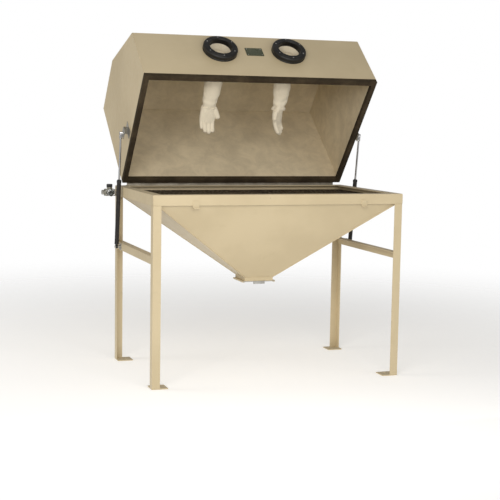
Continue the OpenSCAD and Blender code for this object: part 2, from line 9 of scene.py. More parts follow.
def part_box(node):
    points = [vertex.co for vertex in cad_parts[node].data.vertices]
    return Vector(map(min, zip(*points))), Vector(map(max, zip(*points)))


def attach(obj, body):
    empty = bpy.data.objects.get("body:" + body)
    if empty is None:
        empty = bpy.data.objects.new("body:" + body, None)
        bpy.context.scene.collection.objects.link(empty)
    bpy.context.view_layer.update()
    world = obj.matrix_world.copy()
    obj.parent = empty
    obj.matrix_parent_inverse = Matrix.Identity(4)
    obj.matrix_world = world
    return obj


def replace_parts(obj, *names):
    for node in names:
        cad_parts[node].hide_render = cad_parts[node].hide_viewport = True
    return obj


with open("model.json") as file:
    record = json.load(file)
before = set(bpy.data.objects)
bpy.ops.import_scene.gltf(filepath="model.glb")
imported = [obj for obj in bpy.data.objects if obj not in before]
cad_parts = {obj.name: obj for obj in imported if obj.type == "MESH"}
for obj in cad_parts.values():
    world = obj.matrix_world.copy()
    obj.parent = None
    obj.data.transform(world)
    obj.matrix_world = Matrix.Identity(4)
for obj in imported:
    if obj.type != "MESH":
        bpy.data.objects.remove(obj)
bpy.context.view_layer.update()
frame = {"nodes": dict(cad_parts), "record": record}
NODES = frame["nodes"]
RECORD = frame["record"]
JOINTS = {j["name"]: j for j in RECORD["behaviour"]["joints"]}
SLOT_OF = {s["node"]: s["material_slot"] for s in RECORD["subparts"]}
TAU = 2 * math.pi
MM = 0.001
SIDES = (-1, 1)
STILL = Matrix.Identity(4)      # the object's own frame

# ---------- places

HINGE = Vector(JOINTS["lid_hinge"]["pos_m"])
OPEN = math.radians(JOINTS["lid_hinge"]["range_deg"][1])
# From the lid's own frame (hinge axis at the origin, lid closed) to its open place
LID = Matrix.Translation(HINGE) @ Matrix.Rotation(-OPEN, 4, "X")


def local_box(node, matrix=STILL):
    """A node's lowest and highest corners, measured in the frame that matrix stands for."""
    back = matrix.inverted()
    points = [back @ v.co for v in NODES[node].data.vertices]
    low = Vector([min(p[i] for p in points) for i in range(3)])
    high = Vector([max(p[i] for p in points) for i in range(3)])
    return low, high


def box(node):
    """A node's lowest and highest corners."""
    low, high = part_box(node)
    return Vector(low), Vector(high)


def middle(low, high):
    return (low + high) / 2


def corners(x, y):
    """The four corners of a rectangle about the origin."""
    return [(sx * x, sy * y) for sx in SIDES for sy in SIDES]


RIM_LOW, RIM_HIGH = box("rim_front")[0], box("rim_rear")[1]
FRONT_LOW, FRONT_HIGH = local_box("lid_front", LID)
REAR_HIGH = local_box("lid_rear", LID)[1]
SIDE_HIGH = local_box("lid_side_right", LID)[1]
TOP_LOW = local_box("lid_top", LID)[0]
# Window frame: middle of the sloping panel, Z out of the lid
SLOPE_ANGLE = math.atan2(REAR_HIGH.z - FRONT_HIGH.z, TOP_LOW.y - FRONT_LOW.y)
SLOPE = (LID @ Matrix.Translation((0, (TOP_LOW.y + FRONT_LOW.y) / 2, (REAR_HIGH.z + FRONT_HIGH.z) / 2))
         @ Matrix.Rotation(SLOPE_ANGLE, 4, "X"))

# ---------- mesh helpers


def add(name, data):
    """Puts a mesh, camera or light into the scene."""
    obj = bpy.data.objects.new(name, data)
    bpy.context.scene.collection.objects.link(obj)
    return obj


def place(name, mesh, material, body, slot, smooth=True, angle=40):
    """Makes a mesh a piece of the object, riding on a body."""
    obj = add(name, mesh)
    mesh.materials.clear()
    mesh.materials.append(MATERIALS[material])
    if smooth:
        for polygon in mesh.polygons:
            polygon.use_smooth = True
        mesh.set_sharp_from_angle(angle=math.radians(angle))
    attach(obj, body)
    return obj


def from_bmesh(name, bm, matrix=STILL):
    bm.transform(matrix)
    bmesh.ops.recalc_face_normals(bm, faces=bm.faces)
    mesh = bpy.data.meshes.new(name)
    bm.to_mesh(mesh)
    bm.free()
    return mesh


def build(name, bm, material, body, slot, matrix=STILL, **look):
    """Places what was built in bm, moved by matrix."""
    return place(name, from_bmesh(name, bm, matrix), material, body, slot, **look)


def loft(bm, rings):
    """Skins a list of rings, each a list of points, into a tube with flat ends."""
    rows = [[bm.verts.new(p) for p in ring] for ring in rings]
    count = len(rows[0])
    for a, b in zip(rows, rows[1:]):
        for i in range(count):
            k = (i + 1) % count
            bm.faces.new((a[i], a[k], b[k], b[i]))
    bm.faces.new(rows[0][::-1])
    bm.faces.new(rows[-1])


def wrap(bm, rings):
    """Joins closed rings of points one to the next, and the last back to the first."""
    rows = [[bm.verts.new(p) for p in ring] for ring in rings]
    for a, b in zip(rows, rows[1:] + rows[:1]):
        for k in range(len(a)):
            m = (k + 1) % len(a)
            bm.faces.new((a[k], b[k], b[m], a[m]))


def turned_about(bm, profile, matrix, steps=48):
    """Turns a closed (radius, height) profile in millimetres about the matrix's Z.

    profile is a list, or a function of the step for what isn't round."""
    rings = []
    for i in range(steps):
        a = TAU * i / steps
        points = profile(i) if callable(profile) else profile
        rings.append([matrix @ Vector((r * MM * math.cos(a), r * MM * math.sin(a), h * MM))
                      for r, h in points])
    wrap(bm, rings)


def rounded(centre, half_x, half_z, r):
    """Points round an upright rectangle with rounded corners."""
    points = []
    for side_x, side_z, start in ((1, 1, 0), (-1, 1, 90), (-1, -1, 180), (1, -1, 270)):
        for k in range(7):
            a = math.radians(start + 15 * k)
            points.append(centre + Vector((side_x * (half_x - r) + r * math.cos(a), 0,
                                           side_z * (half_z - r) + r * math.sin(a))))
    return points


def arc(centre, radius, start, end, steps):
    """Points on an arc, in degrees, as (x, y) pairs."""
    return [
        (centre[0] + radius * math.cos(math.radians(start + (end - start) * i / steps)),
         centre[1] + radius * math.sin(math.radians(start + (end - start) * i / steps)))
        for i in range(steps + 1)
    ]


def frames_along(points):
    """Two directions across a path at each of its points."""
    out = []
    side = None
    for i in range(len(points)):
        ahead = points[min(i + 1, len(points) - 1)] - points[max(i - 1, 0)]
        ahead.normalize()
        if side is None:
            side = ahead.orthogonal().normalized()
        side = (side - ahead * side.dot(ahead)).normalized()
        out.append((side, ahead.cross(side)))
    return out


def tube(bm, points, radius, sides=8):
    """Adds a closed tube along a path; radius is a number, or a function of the point's index."""
    rings = []
    for i, (p, (u, v)) in enumerate(zip(points, frames_along(points))):
        r = radius(i) if callable(radius) else radius
        rings.append([p + (u * math.cos(TAU * k / sides) + v * math.sin(TAU * k / sides)) * r
                      for k in range(sides)])
    loft(bm, rings)


def line(a, b, step):
    """Points from a to b, about step apart."""
    a, b = Vector(a), Vector(b)
    count = max(2, round((b - a).length / step))
    return [a.lerp(b, i / count) for i in range(count + 1)]


def bar(bm, low, high):
    """Adds a box between two corners."""
    bmesh.ops.create_cube(bm, size=1, matrix=Matrix.Translation((Vector(low) + Vector(high)) / 2)
                          @ Matrix.Diagonal((*(Vector(high) - Vector(low)), 1)))


def bevel(obj, width, segments=2, angle=35):
    """Rounds an object's hard edges."""
    weld = obj.modifiers.new("weld", "WELD")
    weld.merge_threshold = 0.00001
    mod = obj.modifiers.new("bevel", "BEVEL")
    mod.width = width
    mod.segments = segments
    mod.limit_method = "ANGLE"
    mod.angle_limit = math.radians(angle)
    mod.use_clamp_overlap = True
    even = obj.modifiers.new("even_normals", "WEIGHTED_NORMAL")
    even.weight = 100
    even.keep_sharp = True


# ---------- materials


class Shader:
    """A material being built: every method returns a socket to plug into the next."""

    def __init__(self, name):
        self.material = bpy.data.materials.new(name)
        self.material.use_nodes = True
        self.tree = self.material.node_tree
        self.surface = self.tree.nodes["Principled BSDF"]
        self.coords = self.tree.nodes.new("ShaderNodeTexCoord")
        self.place = self.coords.outputs["Object"]
        self.normal = self.coords.outputs["Normal"]

    def put(self, value, socket):
        if isinstance(value, bpy.types.NodeSocket):
            self.tree.links.new(value, socket)
        else:
            socket.default_value = value

    def set(self, **values):
        for key, value in values.items():
            self.put(value, self.surface.inputs[key.replace("_", " ")])

    def node(self, kind, inputs, **settings):
        """Adds a node, then plugs in or sets its inputs."""
        node = self.tree.nodes.new("ShaderNode" + kind)
        for key, value in settings.items():
            setattr(node, key, value)
        for key, value in inputs.items():
            self.put(value, node.inputs[key])
        return node

    def scaled(self, factors):
        return self.node("VectorMath", {0: self.place, 1: factors}, operation="MULTIPLY").outputs[0]

    def noise(self, scale, detail=3, roughness=0.5, vector=None, distortion=0.0):
        inputs = {"Scale": scale, "Detail": detail, "Roughness": roughness, "Distortion": distortion}
        return self.node("TexNoise", {**inputs, "Vector": vector or self.place}).outputs["Fac"]

    def cells(self, scale):
        return self.node("TexVoronoi", {"Scale": scale, "Vector": self.place}).outputs["Distance"]

    def wave(self, scale, distortion, direction):
        inputs = {"Scale": scale, "Distortion": distortion, "Vector": self.place}
        return self.node("TexWave", inputs, bands_direction=direction).outputs["Fac"]

    def math(self, operation, a, b, clamp=False):
        return self.node("Math", {0: a, 1: b}, operation=operation, use_clamp=clamp).outputs[0]

    def span(self, value, low, high, to_low=0.0, to_high=1.0):
        inputs = {"Value": value, "From Min": low, "From Max": high, "To Min": to_low, "To Max": to_high}
        return self.node("MapRange", inputs, interpolation_type="SMOOTHSTEP").outputs[0]

    def part(self, vector, axis):
        return self.node("SeparateXYZ", {0: vector}).outputs[axis]

    def mix(self, factor, a, b):
        a, b = ((*c, 1) if isinstance(c, tuple) else c for c in (a, b))
        return self.node("Mix", {"Factor": factor, "A": a, "B": b}, data_type="RGBA").outputs["Result"]

    def bump(self, height, strength, distance, under=None):
        inputs = {"Strength": strength, "Distance": distance, "Height": height}
        if under is not None:
            inputs["Normal"] = under
        return self.node("Bump", inputs).outputs["Normal"]


def away_from(sh, centre):
    """1 where a face looks away from centre, 0 where it looks towards it."""
    offset = sh.node("VectorMath", {0: sh.place, 1: centre}, operation="SUBTRACT").outputs[0]
    dot = sh.node("VectorMath", {0: offset, 1: sh.normal}, operation="DOT_PRODUCT").outputs["Value"]
    return sh.span(dot, -0.01, 0.01)


BEIGE = (0.52, 0.425, 0.262)
BEIGE_LIGHT = (0.575, 0.475, 0.30)
BEIGE_DEEP = (0.42, 0.335, 0.19)
DUST = (0.48, 0.42, 0.32)
# Lining colours for the faces inside the lid and hopper: a blast-dulled tone painted lighter than the enamel
# outside, as painted light standing in for light reaching into the hollows; the mottle between the two is
# random.
LINING_WITH_PAINTED_LIGHT = (0.70, 0.595, 0.41)
LINING_DARK_WITH_PAINTED_LIGHT = (0.56, 0.47, 0.32)


def enamel(name, inside_of=None, dusty=0.5):
    """Sprayed beige enamel: slight orange peel, handling marks, dust on what faces up.

    inside_of is the middle of a hollow: faces that look towards it are blast-dulled and mottled, and take a
    lining colour painted lighter than the enamel, a painted light standing in for light reaching into the
    hollow."""
    sh = Shader(name)
    broad = sh.noise(2.6, 4, 0.55)
    fine = sh.noise(38, 5, 0.6)
    colour = sh.mix(sh.span(broad, 0.35, 0.68), BEIGE, BEIGE_LIGHT)
    stain = sh.span(sh.noise(7, 6, 0.65, distortion=0.6), 0.6, 0.82, 0.0, 0.45)
    colour = sh.mix(stain, colour, BEIGE_DEEP)
    chips = sh.span(sh.noise(75, 2, 0.5), 0.765, 0.785)
    chips = sh.math("MULTIPLY", chips, sh.span(sh.noise(5, 2), 0.5, 0.62))
    colour = sh.mix(chips, colour, (0.17, 0.14, 0.11))
    facing_up = sh.span(sh.part(sh.normal, 2), 0.75, 0.98, 0.0, dusty)
    settled = sh.math("MULTIPLY", facing_up, sh.span(sh.noise(16, 6, 0.7), 0.3, 0.65))
    colour = sh.mix(settled, colour, DUST)
    rough = sh.span(fine, 0.3, 0.7, 0.36, 0.5)
    rough = sh.math("ADD", rough, sh.math("MULTIPLY", settled, 0.4), clamp=True)
    peel = sh.bump(sh.noise(420, 2, 0.5), 0.06, 0.0006)
    if inside_of is not None:
        outside = away_from(sh, inside_of)
        mottle = sh.span(sh.noise(11, 7, 0.72, distortion=0.4), 0.3, 0.7)
        # Painted light: inside faces take the lighter lining colour in place of the enamel.
        lining = sh.mix(mottle, LINING_DARK_WITH_PAINTED_LIGHT, LINING_WITH_PAINTED_LIGHT)
        colour = sh.mix(outside, lining, colour)
        rough = sh.mix(outside, (0.85, 0.85, 0.85), rough)
        pits = sh.math("MULTIPLY", sh.noise(160, 5, 0.7), sh.math("SUBTRACT", 1.0, outside))
        peel = sh.bump(pits, 0.35, 0.001, peel)
    sh.set(Base_Color=colour, Roughness=rough, Metallic=0.0, Normal=peel,
           Coat_Weight=0.12, Coat_Roughness=0.3)
    return sh.material


def bare_steel(name, colour, dark, rough=(0.3, 0.5), grain=(4, 900, 900), rust=0.0):
    """Plated or plain steel with a drawn grain, dull patches and, if asked, rust freckles."""
    sh = Shader(name)
    patch = sh.span(sh.noise(22, 5, 0.6), 0.35, 0.7)
    tint = sh.mix(patch, dark, colour)
    freckles = sh.math("MULTIPLY", sh.span(sh.noise(120, 4, 0.7), 0.6, 0.75), rust)
    tint = sh.mix(freckles, tint, (0.16, 0.07, 0.03))
    streak = sh.noise(1, 3, 0.6, vector=sh.scaled(grain))
    roughness = sh.span(sh.math("ADD", sh.math("MULTIPLY", streak, 0.5), sh.math("MULTIPLY", patch, 0.5)),
                        0.2, 0.8, rough[1], rough[0])
    metal = sh.math("SUBTRACT", 1.0, freckles)
    sh.set(Base_Color=tint, Metallic=metal, Roughness=roughness, Normal=sh.bump(streak, 0.08, 0.0004))
    return sh.material


def moulded(name, colour, light, rough=(0.45, 0.62), grit=500, depth=0.25):
    """Moulded rubber or plastic with a fine skin texture and a trace of dust."""
    sh = Shader(name)
    dusting = sh.span(sh.noise(14, 6, 0.7), 0.42, 0.8, 0.0, 0.6)
    tint = sh.mix(dusting, colour, light)
    texture = sh.noise(grit, 3, 0.6)
    sh.set(Base_Color=tint, Roughness=sh.span(sh.noise(45, 4), 0.3, 0.7, *rough),
           Normal=sh.bump(texture, depth, 0.0006), Specular_IOR_Level=0.4)
    return sh.material


def sponge(name):
    """Closed-cell sponge rubber: fine pores and a dusty skin."""
    sh = Shader(name)
    pores = sh.cells(420)
    tint = sh.mix(sh.span(sh.noise(9, 6, 0.7), 0.35, 0.75), (0.03, 0.021, 0.011), (0.068, 0.048, 0.026))
    sh.set(Base_Color=tint, Roughness=0.92, Normal=sh.bump(pores, 0.5, 0.0012), Specular_IOR_Level=0.2)
    return sh.material


def glove_cloth(name):
    """Cream rubberised cotton: a fine knit under a thin coat, with random soiling and painted shade in the
    knit's hollows.
    """
    sh = Shader(name)
    weave = sh.math("MULTIPLY", sh.wave(260, 0.6, "X"), sh.wave(260, 0.6, "Z"))
    soil = sh.span(sh.noise(13, 6, 0.7, distortion=0.5), 0.45, 0.8, 0.0, 0.6)
    tint = sh.mix(soil, (0.88, 0.79, 0.61), (0.62, 0.53, 0.37))
    # Painted shade: the colour darkens where the knit's bump is low.
    tint = sh.mix(sh.span(weave, 0.0, 1.0, 0.25, 0.0), tint, (0.42, 0.35, 0.25))
    normal = sh.bump(weave, 0.35, 0.0006, sh.bump(sh.noise(60, 5, 0.65), 0.3, 0.002))
    sh.set(Base_Color=tint, Roughness=0.82, Normal=normal, Sheen_Weight=0.35, Sheen_Roughness=0.5)
    return sh.material


def clear(name, tint, rough, alpha_noise=0.12, transmission=0.95):
    """Glass with a slight tint and smears of blast dust."""
    sh = Shader(name)
    smear = sh.span(sh.noise(6, 7, 0.7, distortion=1.0), 0.45, 0.8, 0.0, alpha_noise)
    sh.set(Base_Color=sh.mix(smear, tint, DUST), Transmission_Weight=transmission, IOR=1.5,
           Roughness=sh.span(sh.noise(30, 4), 0.3, 0.7, rough, rough + 0.05))
    return sh.material


MATERIALS = {}


def make_materials():
    lid_middle = LID @ Vector((0, (FRONT_LOW.y + REAR_HIGH.y) / 2, REAR_HIGH.z * 0.42))
    hopper_middle = Vector((0, (RIM_LOW.y + RIM_HIGH.y) / 2, RIM_LOW.z + 0.02))
    MATERIALS.update(
        painted=enamel("beige_enamel"),
        lid_shell=enamel("beige_enamel_lid", inside_of=lid_middle, dusty=0.25),
        hopper_shell=enamel("beige_enamel_hopper", inside_of=hopper_middle, dusty=0.2),
        weld=enamel("painted_weld", dusty=0.3),
        # The lid's inside seam welds take the lining colours, painted light included.
        lining_weld=moulded("lining_weld", LINING_WITH_PAINTED_LIGHT, LINING_DARK_WITH_PAINTED_LIGHT, (0.8, 0.9), 300, 0.2),
        grate=bare_steel("grate_steel", (0.20, 0.17, 0.13), (0.10, 0.082, 0.06), (0.45, 0.7), (300, 8, 300),
                         rust=0.35),
        zinc=bare_steel("zinc_plate", (0.62, 0.61, 0.57), (0.42, 0.41, 0.38), (0.28, 0.5)),
        hinge=bare_steel("dull_hinge_steel", (0.38, 0.345, 0.285), (0.31, 0.28, 0.23), (0.55, 0.7)),
        pin=bare_steel("pin_steel", (0.48, 0.47, 0.45), (0.3, 0.29, 0.28), (0.3, 0.45)),
        chrome=bare_steel("hard_chrome", (0.85, 0.85, 0.86), (0.78, 0.78, 0.8), (0.06, 0.14), (900, 900, 6)),
        strut=moulded("strut_paint", (0.012, 0.011, 0.011), (0.05, 0.045, 0.04), (0.28, 0.4), 700, 0.05),
        sponge=sponge("sponge_rubber"),
        ring=moulded("ring_rubber", (0.006, 0.0055, 0.005), (0.03, 0.026, 0.021), (0.38, 0.55), 420, 0.2),
        glass=clear("window_pane", (0.9, 0.96, 0.94), 0.02),
        lamp_glass=clear("frosted_tube", (0.95, 0.95, 0.92), 0.35, transmission=0.35),
        white=moulded("white_enamel", (0.74, 0.73, 0.69), (0.55, 0.52, 0.44), (0.3, 0.5), 300, 0.05),
        cloth=glove_cloth("glove_cloth"),
        plate=moulded("anodised_plate", (0.052, 0.06, 0.03), (0.13, 0.135, 0.09), (0.25, 0.4), 600, 0.05),
        diecast=bare_steel("die_cast", (0.36, 0.35, 0.30), (0.24, 0.235, 0.20), (0.4, 0.6), (500, 500, 500)),
        black=moulded("black_plastic", (0.012, 0.012, 0.012), (0.06, 0.055, 0.05), (0.4, 0.6)),
        grey=moulded("grey_hammer", (0.27, 0.27, 0.265), (0.4, 0.39, 0.36), (0.3, 0.45), 90, 0.5),
        alloy=bare_steel("cast_alloy", (0.62, 0.62, 0.61), (0.45, 0.45, 0.44), (0.35, 0.55), (350, 350, 350)),
        ceramic=moulded("ceramic", (0.78, 0.74, 0.64), (0.6, 0.56, 0.47), (0.25, 0.4), 600, 0.05),
        dial=moulded("dial_face", (0.82, 0.82, 0.79), (0.7, 0.69, 0.65), (0.3, 0.4), 600, 0.02),
    )


# Each slot's material and the width of its rounded edges in millimetres
LOOK_OF_SLOT = {
    "painted": ("painted", 0.8), "grate_steel": ("grate", 0.4), "zinc_steel": ("zinc", 0.4),
    "pin_steel": ("pin", 0.3), "strut_black": ("strut", 0.8), "rod_chrome": ("chrome", 0.4),
    "seal_rubber": ("sponge", 1.5), "port_rubber": ("ring", 1.2), "window_glass": ("glass", 0.6),
    "lamp_white": ("white", 1.0), "lamp_glass": ("lamp_glass", 0), "glove_fabric": ("cloth", 0),
    "plate_green": ("plate", 0.4), "cast_zinc": ("diecast", 2.0), "gauge_black": ("black", 1.2),
    "black_plastic": ("black", 0.8), "box_grey": ("grey", 1.5), "gun_alloy": ("alloy", 1.2),
    "ceramic": ("ceramic", 0.8), "trigger_steel": ("pin", 0.6),
}


def dress_cad_nodes():
    """Gives every CAD node its material and soft edges."""
    for name, obj in NODES.items():
        key, width = LOOK_OF_SLOT[SLOT_OF[name]]
        if name.startswith("lid_") and key == "painted":
            key = "lid_shell"
        if name.startswith("hopper_"):
            key = "hopper_shell"
        if name.startswith("hinge_leaf"):
            key = "hinge"
        obj.data.materials.clear()
        obj.data.materials.append(MATERIALS[key])
        if width:
            bevel(obj, width * MM)


# ---------- gloves

GLOVE_HANG = math.tan(math.radians(27))
HAND_LEAN = math.radians(27)
# Distances into the lid along the sleeve
CUFF_START, CLAMP_END, HAND_START, WRIST = 0.0105, 0.040, 0.255, 0.262
FOLD_SPACING = 0.034
# Distance into the lid in metres, then half the width and half the depth in millimetres
SLEEVE = (
    (0.008, 65.5, 65.5), (0.012, 64.6, 64.6), (0.036, 64.4, 64.4), (0.044, 66, 65), (0.056, 67, 62),
    (0.075, 62, 54), (0.095, 55, 44), (0.12, 50, 37), (0.15, 47, 33), (0.18, 45, 31), (0.215, 42, 28),
    (0.245, 39, 25), (0.267, 38, 22), (0.29, 40, 19),
)
# Distance past the wrist in metres, then half the width and half the thickness in millimetres
PALM = ((-0.02, 36, 21), (0.012, 39, 19), (0.042, 44, 17.5), (0.072, 46, 16.5), (0.1, 44, 14))
# Place across the hand and length in metres, then the radius at the root in millimetres
FINGERS = ((0.0335, 0.068, 11.8), (0.0115, 0.076, 12.2), (-0.0115, 0.07, 11.8), (-0.0335, 0.054, 10.8))


def port_matrix(side):
    """Port frame: X across, Y into the lid from the panel's outer face, Z up the panel."""
    low, high = local_box("port_ring_left" if side < 0 else "port_ring_right", LID)
    return LID @ Matrix.Translation(((low.x + high.x) / 2, FRONT_LOW.y, (low.z + high.z) / 2))


def glove_centre(y, lean):
    """The sleeve's middle line: straight out of the port, then hanging."""
    fall = 0.02 * math.log1p(math.exp((y - 0.09) / 0.02))
    return Vector((lean * max(0.0, (y - 0.034) / 0.375) ** 1.3, y, -GLOVE_HANG * fall))


def squircle(centre, across, up, a, b, count, power=1.0):
    """An oval ring, squarer for a power under 1."""
    ring = []
    for i in range(count):
        c, s = math.cos(TAU * i / count), math.sin(TAU * i / count)
        ring.append(centre + across * a * math.copysign(abs(c) ** power, c)
                    + up * b * math.copysign(abs(s) ** power, s))
    return ring


def add_finger(bm, points, base, tip):
    """A tapering finger with a round end."""
    count = len(points) - 1
    length = sum((b - a).length for a, b in zip(points, points[1:]))
    rounded = 1 - tip / length

    def size(i):
        k = i / count
        r = base + (tip - base) * k
        return r if k < rounded else r * math.sqrt(max(0.02, 1 - ((k - rounded) / (1 - rounded)) ** 2))
    tube(bm, points, size, 14)


def glove_solid(side, lean, twist, narrow, curl, spread):
    """The glove as overlapping closed forms: sleeve, palm, four fingers and a thumb."""
    bm = bmesh.new()
    rings = []
    for y, a, b in SLEEVE:
        p = glove_centre(y, lean)
        ahead = (glove_centre(y + 0.002, lean) - glove_centre(y - 0.002, lean)).normalized()
        across = Vector((1, 0, 0))
        rings.append(squircle(p, across, across.cross(ahead).normalized(), a * MM, b * MM, 48))
    loft(bm, rings)
    wrist = glove_centre(WRIST, lean)
    ahead = Vector((lean * 1.6, math.cos(HAND_LEAN), -math.sin(HAND_LEAN))).normalized()
    level = (Vector((1, 0, 0)) - ahead * ahead.x).normalized()
    raised = level.cross(ahead)
    across = level * math.cos(twist) + raised * math.sin(twist)
    up = raised * math.cos(twist) - level * math.sin(twist)
    thumb_way = -side

    def spot(a, b, c=0.0):
        return wrist + ahead * a + across * (b * thumb_way) + up * c
    loft(bm, [squircle(spot(a, 0), across, up, w * narrow * MM, t * MM, 40, 0.85) for a, w, t in PALM])
    for b, length, r in FINGERS:
        bend = curl * (1 + 5 * abs(b))
        points = [spot(0.082 + length * k / 16, b * narrow * (1 + spread * k / 16),
                       -bend * length * (k / 16) ** 2) for k in range(17)]
        add_finger(bm, points, r * MM, r * 0.84 * MM)
    points = [spot(0.004 + 0.083 * math.cos(0.62 - 0.3 * k / 16) * k / 16,
                   0.018 * narrow + 0.083 * math.sin(0.72 - 0.2 * k / 16) * k / 16, -0.012 * (k / 16) ** 2)
              for k in range(17)]
    add_finger(bm, points, 16 * MM, 12 * MM)
    return bm


def share(value, start, reach):
    """0 up to start, 1 from start + reach on."""
    return min(1.0, max(0.0, (value - start) / reach))


def settle_cloth(obj, pinned, steps, cap):
    """Lets the fabric hang and crease, then keeps the result, no point further than cap from its start."""
    group = obj.vertex_groups.new(name="pin")
    for index, weight in enumerate(pinned):
        group.add([index], weight, "REPLACE")
    cloth = obj.modifiers.new("cloth", "CLOTH")
    settings = cloth.settings
    settings.quality = 6
    settings.mass = 0.4
    settings.tension_stiffness = settings.compression_stiffness = 18
    settings.shear_stiffness = 8
    settings.bending_stiffness = 0.25
    settings.shrink_min = -0.10
    settings.vertex_group_mass = "pin"
    settings.pin_stiffness = 1.0
    settings.effector_weights.gravity = 0.35
    cloth.collision_settings.use_collision = False
    cloth.point_cache.frame_start, cloth.point_cache.frame_end = 1, steps
    scene = bpy.context.scene
    for step in range(1, steps + 1):
        scene.frame_set(step)
    settled = obj.evaluated_get(bpy.context.evaluated_depsgraph_get()).to_mesh()
    moved = [v.co.copy() for v in settled.vertices]
    obj.modifiers.remove(cloth)
    scene.frame_set(1)
    for vertex, target in zip(obj.data.vertices, moved):
        shift = target - vertex.co
        if shift.length > cap:
            shift *= cap / shift.length
        vertex.co += shift
    obj.vertex_groups.clear()


def crease(v, seed):
    """Moves a point of the fabric along its normal into folds, and says how firmly it is held."""
    x, y, z = v.co
    loose = share(y, CLAMP_END, 0.012)
    on_hand = share(y, HAND_START, 0.05)
    p = Vector((x * 9, y * 17 + x * 5, z * 9 + seed))
    folds = noise.noise(p) * 5.5 + noise.noise(p * 2.3) * 2.4
    cross = math.sin((y + 0.35 * z) * TAU / FOLD_SPACING + 2.5 * noise.noise(p * 0.7)) * 1.9
    bend = max(0.0, 1 - abs(y - 0.105) / 0.06) + 0.8 * max(0.0, 1 - abs(y - 0.235) / 0.045)
    v.co += v.normal * (folds + cross * bend) * MM * loose * (1 - 0.72 * on_hand)
    return 1.0 - loose + 0.55 * on_hand * loose


def make_glove(side, seed, **shape):
    """A fabric glove: its solid remeshed, opened at the cuff, creased, settled and given a thickness."""
    word = "left" if side < 0 else "right"
    matrix = port_matrix(side)
    solid = add("solid", from_bmesh("solid", glove_solid(side, **shape)))
    remesh = solid.modifiers.new("remesh", "REMESH")
    remesh.mode = "VOXEL"
    remesh.voxel_size = 3.4 * MM
    skin = bpy.data.meshes.new_from_object(solid.evaluated_get(bpy.context.evaluated_depsgraph_get()))
    bpy.data.objects.remove(solid)
    bm = bmesh.new()
    bm.from_mesh(skin)
    bmesh.ops.delete(bm, geom=[f for f in bm.faces if f.calc_center_median().y < CUFF_START], context="FACES")
    edge = {v for e in bm.edges if e.is_boundary for v in e.verts}
    for _ in range(3):
        bmesh.ops.smooth_vert(bm, verts=[v for v in bm.verts if v not in edge], factor=0.5,
                              use_axis_x=True, use_axis_y=True, use_axis_z=True)
    pinned = [crease(v, seed) for v in bm.verts]
    bm.transform(matrix)
    bm.to_mesh(skin)
    bm.free()
    glove = place(f"glove_{word}_fabric", skin, "cloth", "lid", "glove_fabric", angle=180)
    settle_cloth(glove, pinned, 16, 9 * MM)
    shell = glove.modifiers.new("thickness", "SOLIDIFY")
    shell.thickness = 1.6 * MM
    shell.offset = -1
    soft = glove.modifiers.new("smooth", "SUBSURF")
    soft.levels = soft.render_levels = 1
    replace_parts(glove, f"glove_{word}")


# ---------- fasteners and welds


def head(bm, matrix, r, h, socket=0.5):
    """A button head r by h millimetres with a hexagon socket, standing along the matrix's Z."""
    sides = 24

    def ring(radius, z, hexed=False):
        out = []
        for i in range(sides):
            a = TAU * i / sides
            k = 0.866 / math.cos(a % (TAU / 6) - TAU / 12) if hexed else 1.0
            out.append(matrix @ (Vector((radius * k * math.cos(a), radius * k * math.sin(a), z)) * MM))
        return out
    loft(bm, [ring(r, -0.2), ring(r, h * 0.25), ring(r * 0.95, h * 0.6), ring(r * 0.8, h * 0.88),
              ring(r * 0.62, h), ring(r * socket, h, True), ring(r * socket, h * 0.35, True)])


def nut(bm, matrix, flat, thickness):
    """A chamfered hexagon nut in millimetres, along the matrix's Z."""
    def ring(k, z, hexed=False):
        out = []
        for i in range(36):
            a = TAU * i / 36
            r = flat / 2 * (1 / math.cos(a % (TAU / 6) - TAU / 12) if hexed else k)
            out.append(matrix @ (Vector((r * math.cos(a), r * math.sin(a), z)) * MM))
        return out
    loft(bm, [ring(1, 0), ring(1, 0.12 * thickness, True), ring(1, 0.88 * thickness, True),
              ring(1, thickness), ring(0.55, thickness), ring(0.55, thickness * 1.25)])


def ring_nut(bm, matrix, flat, thickness, bore):
    """A hexagon collar with an open bore in millimetres, along the matrix's Z."""
    def profile(i):
        r = flat / 2 / math.cos(TAU * i / 36 % (TAU / 6) - TAU / 12)
        return [(bore, 0), (flat / 2, 0), (r, 0.12 * thickness), (r, 0.88 * thickness),
                (flat / 2, thickness), (bore, thickness)]
    turned_about(bm, profile, matrix, 36)


def facing(point, normal, roll=0.0):
    """A matrix at a point with Z along the normal."""
    turn = Vector(normal).to_track_quat("Z", "Y").to_matrix().to_4x4()
    return Matrix.Translation(point) @ turn @ Matrix.Rotation(roll, 4, "Z")


def heads(name, spots, matrix, r, h, body, material="zinc", slot="zinc_steel", socket=0.5):
    """Button heads at (point, normal) spots, as one piece."""
    bm = bmesh.new()
    for i, (point, normal) in enumerate(spots):
        head(bm, facing(point, normal, 0.7 * i), r, h, socket)
    return build(name, bm, material, body, slot, matrix, angle=35)


def weld(bm, a, b, r, seed):
    """A rippled bead r millimetres thick from a to b, half sunk in the plates it joins."""
    points = line(a, b, 1.3 * MM)
    wobble = [noise.noise(Vector((i * 0.11, seed, 3.1))) for i in range(len(points))]

    def size(i):
        fade = min(1.0, 0.45 + min(i, len(points) - 1 - i) / 5)
        return r * MM * fade * (0.86 + 0.13 * abs(math.sin(i * 1.02)) + 0.16 * wobble[i])
    tube(bm, points, size, 8)


def welds(name, runs, r, body="stand", matrix=STILL, material="weld"):
    bm = bmesh.new()
    for i, (a, b) in enumerate(runs):
        weld(bm, a, b, r, i * 1.7)
    return build(name, bm, material, body, "painted", matrix, angle=80)


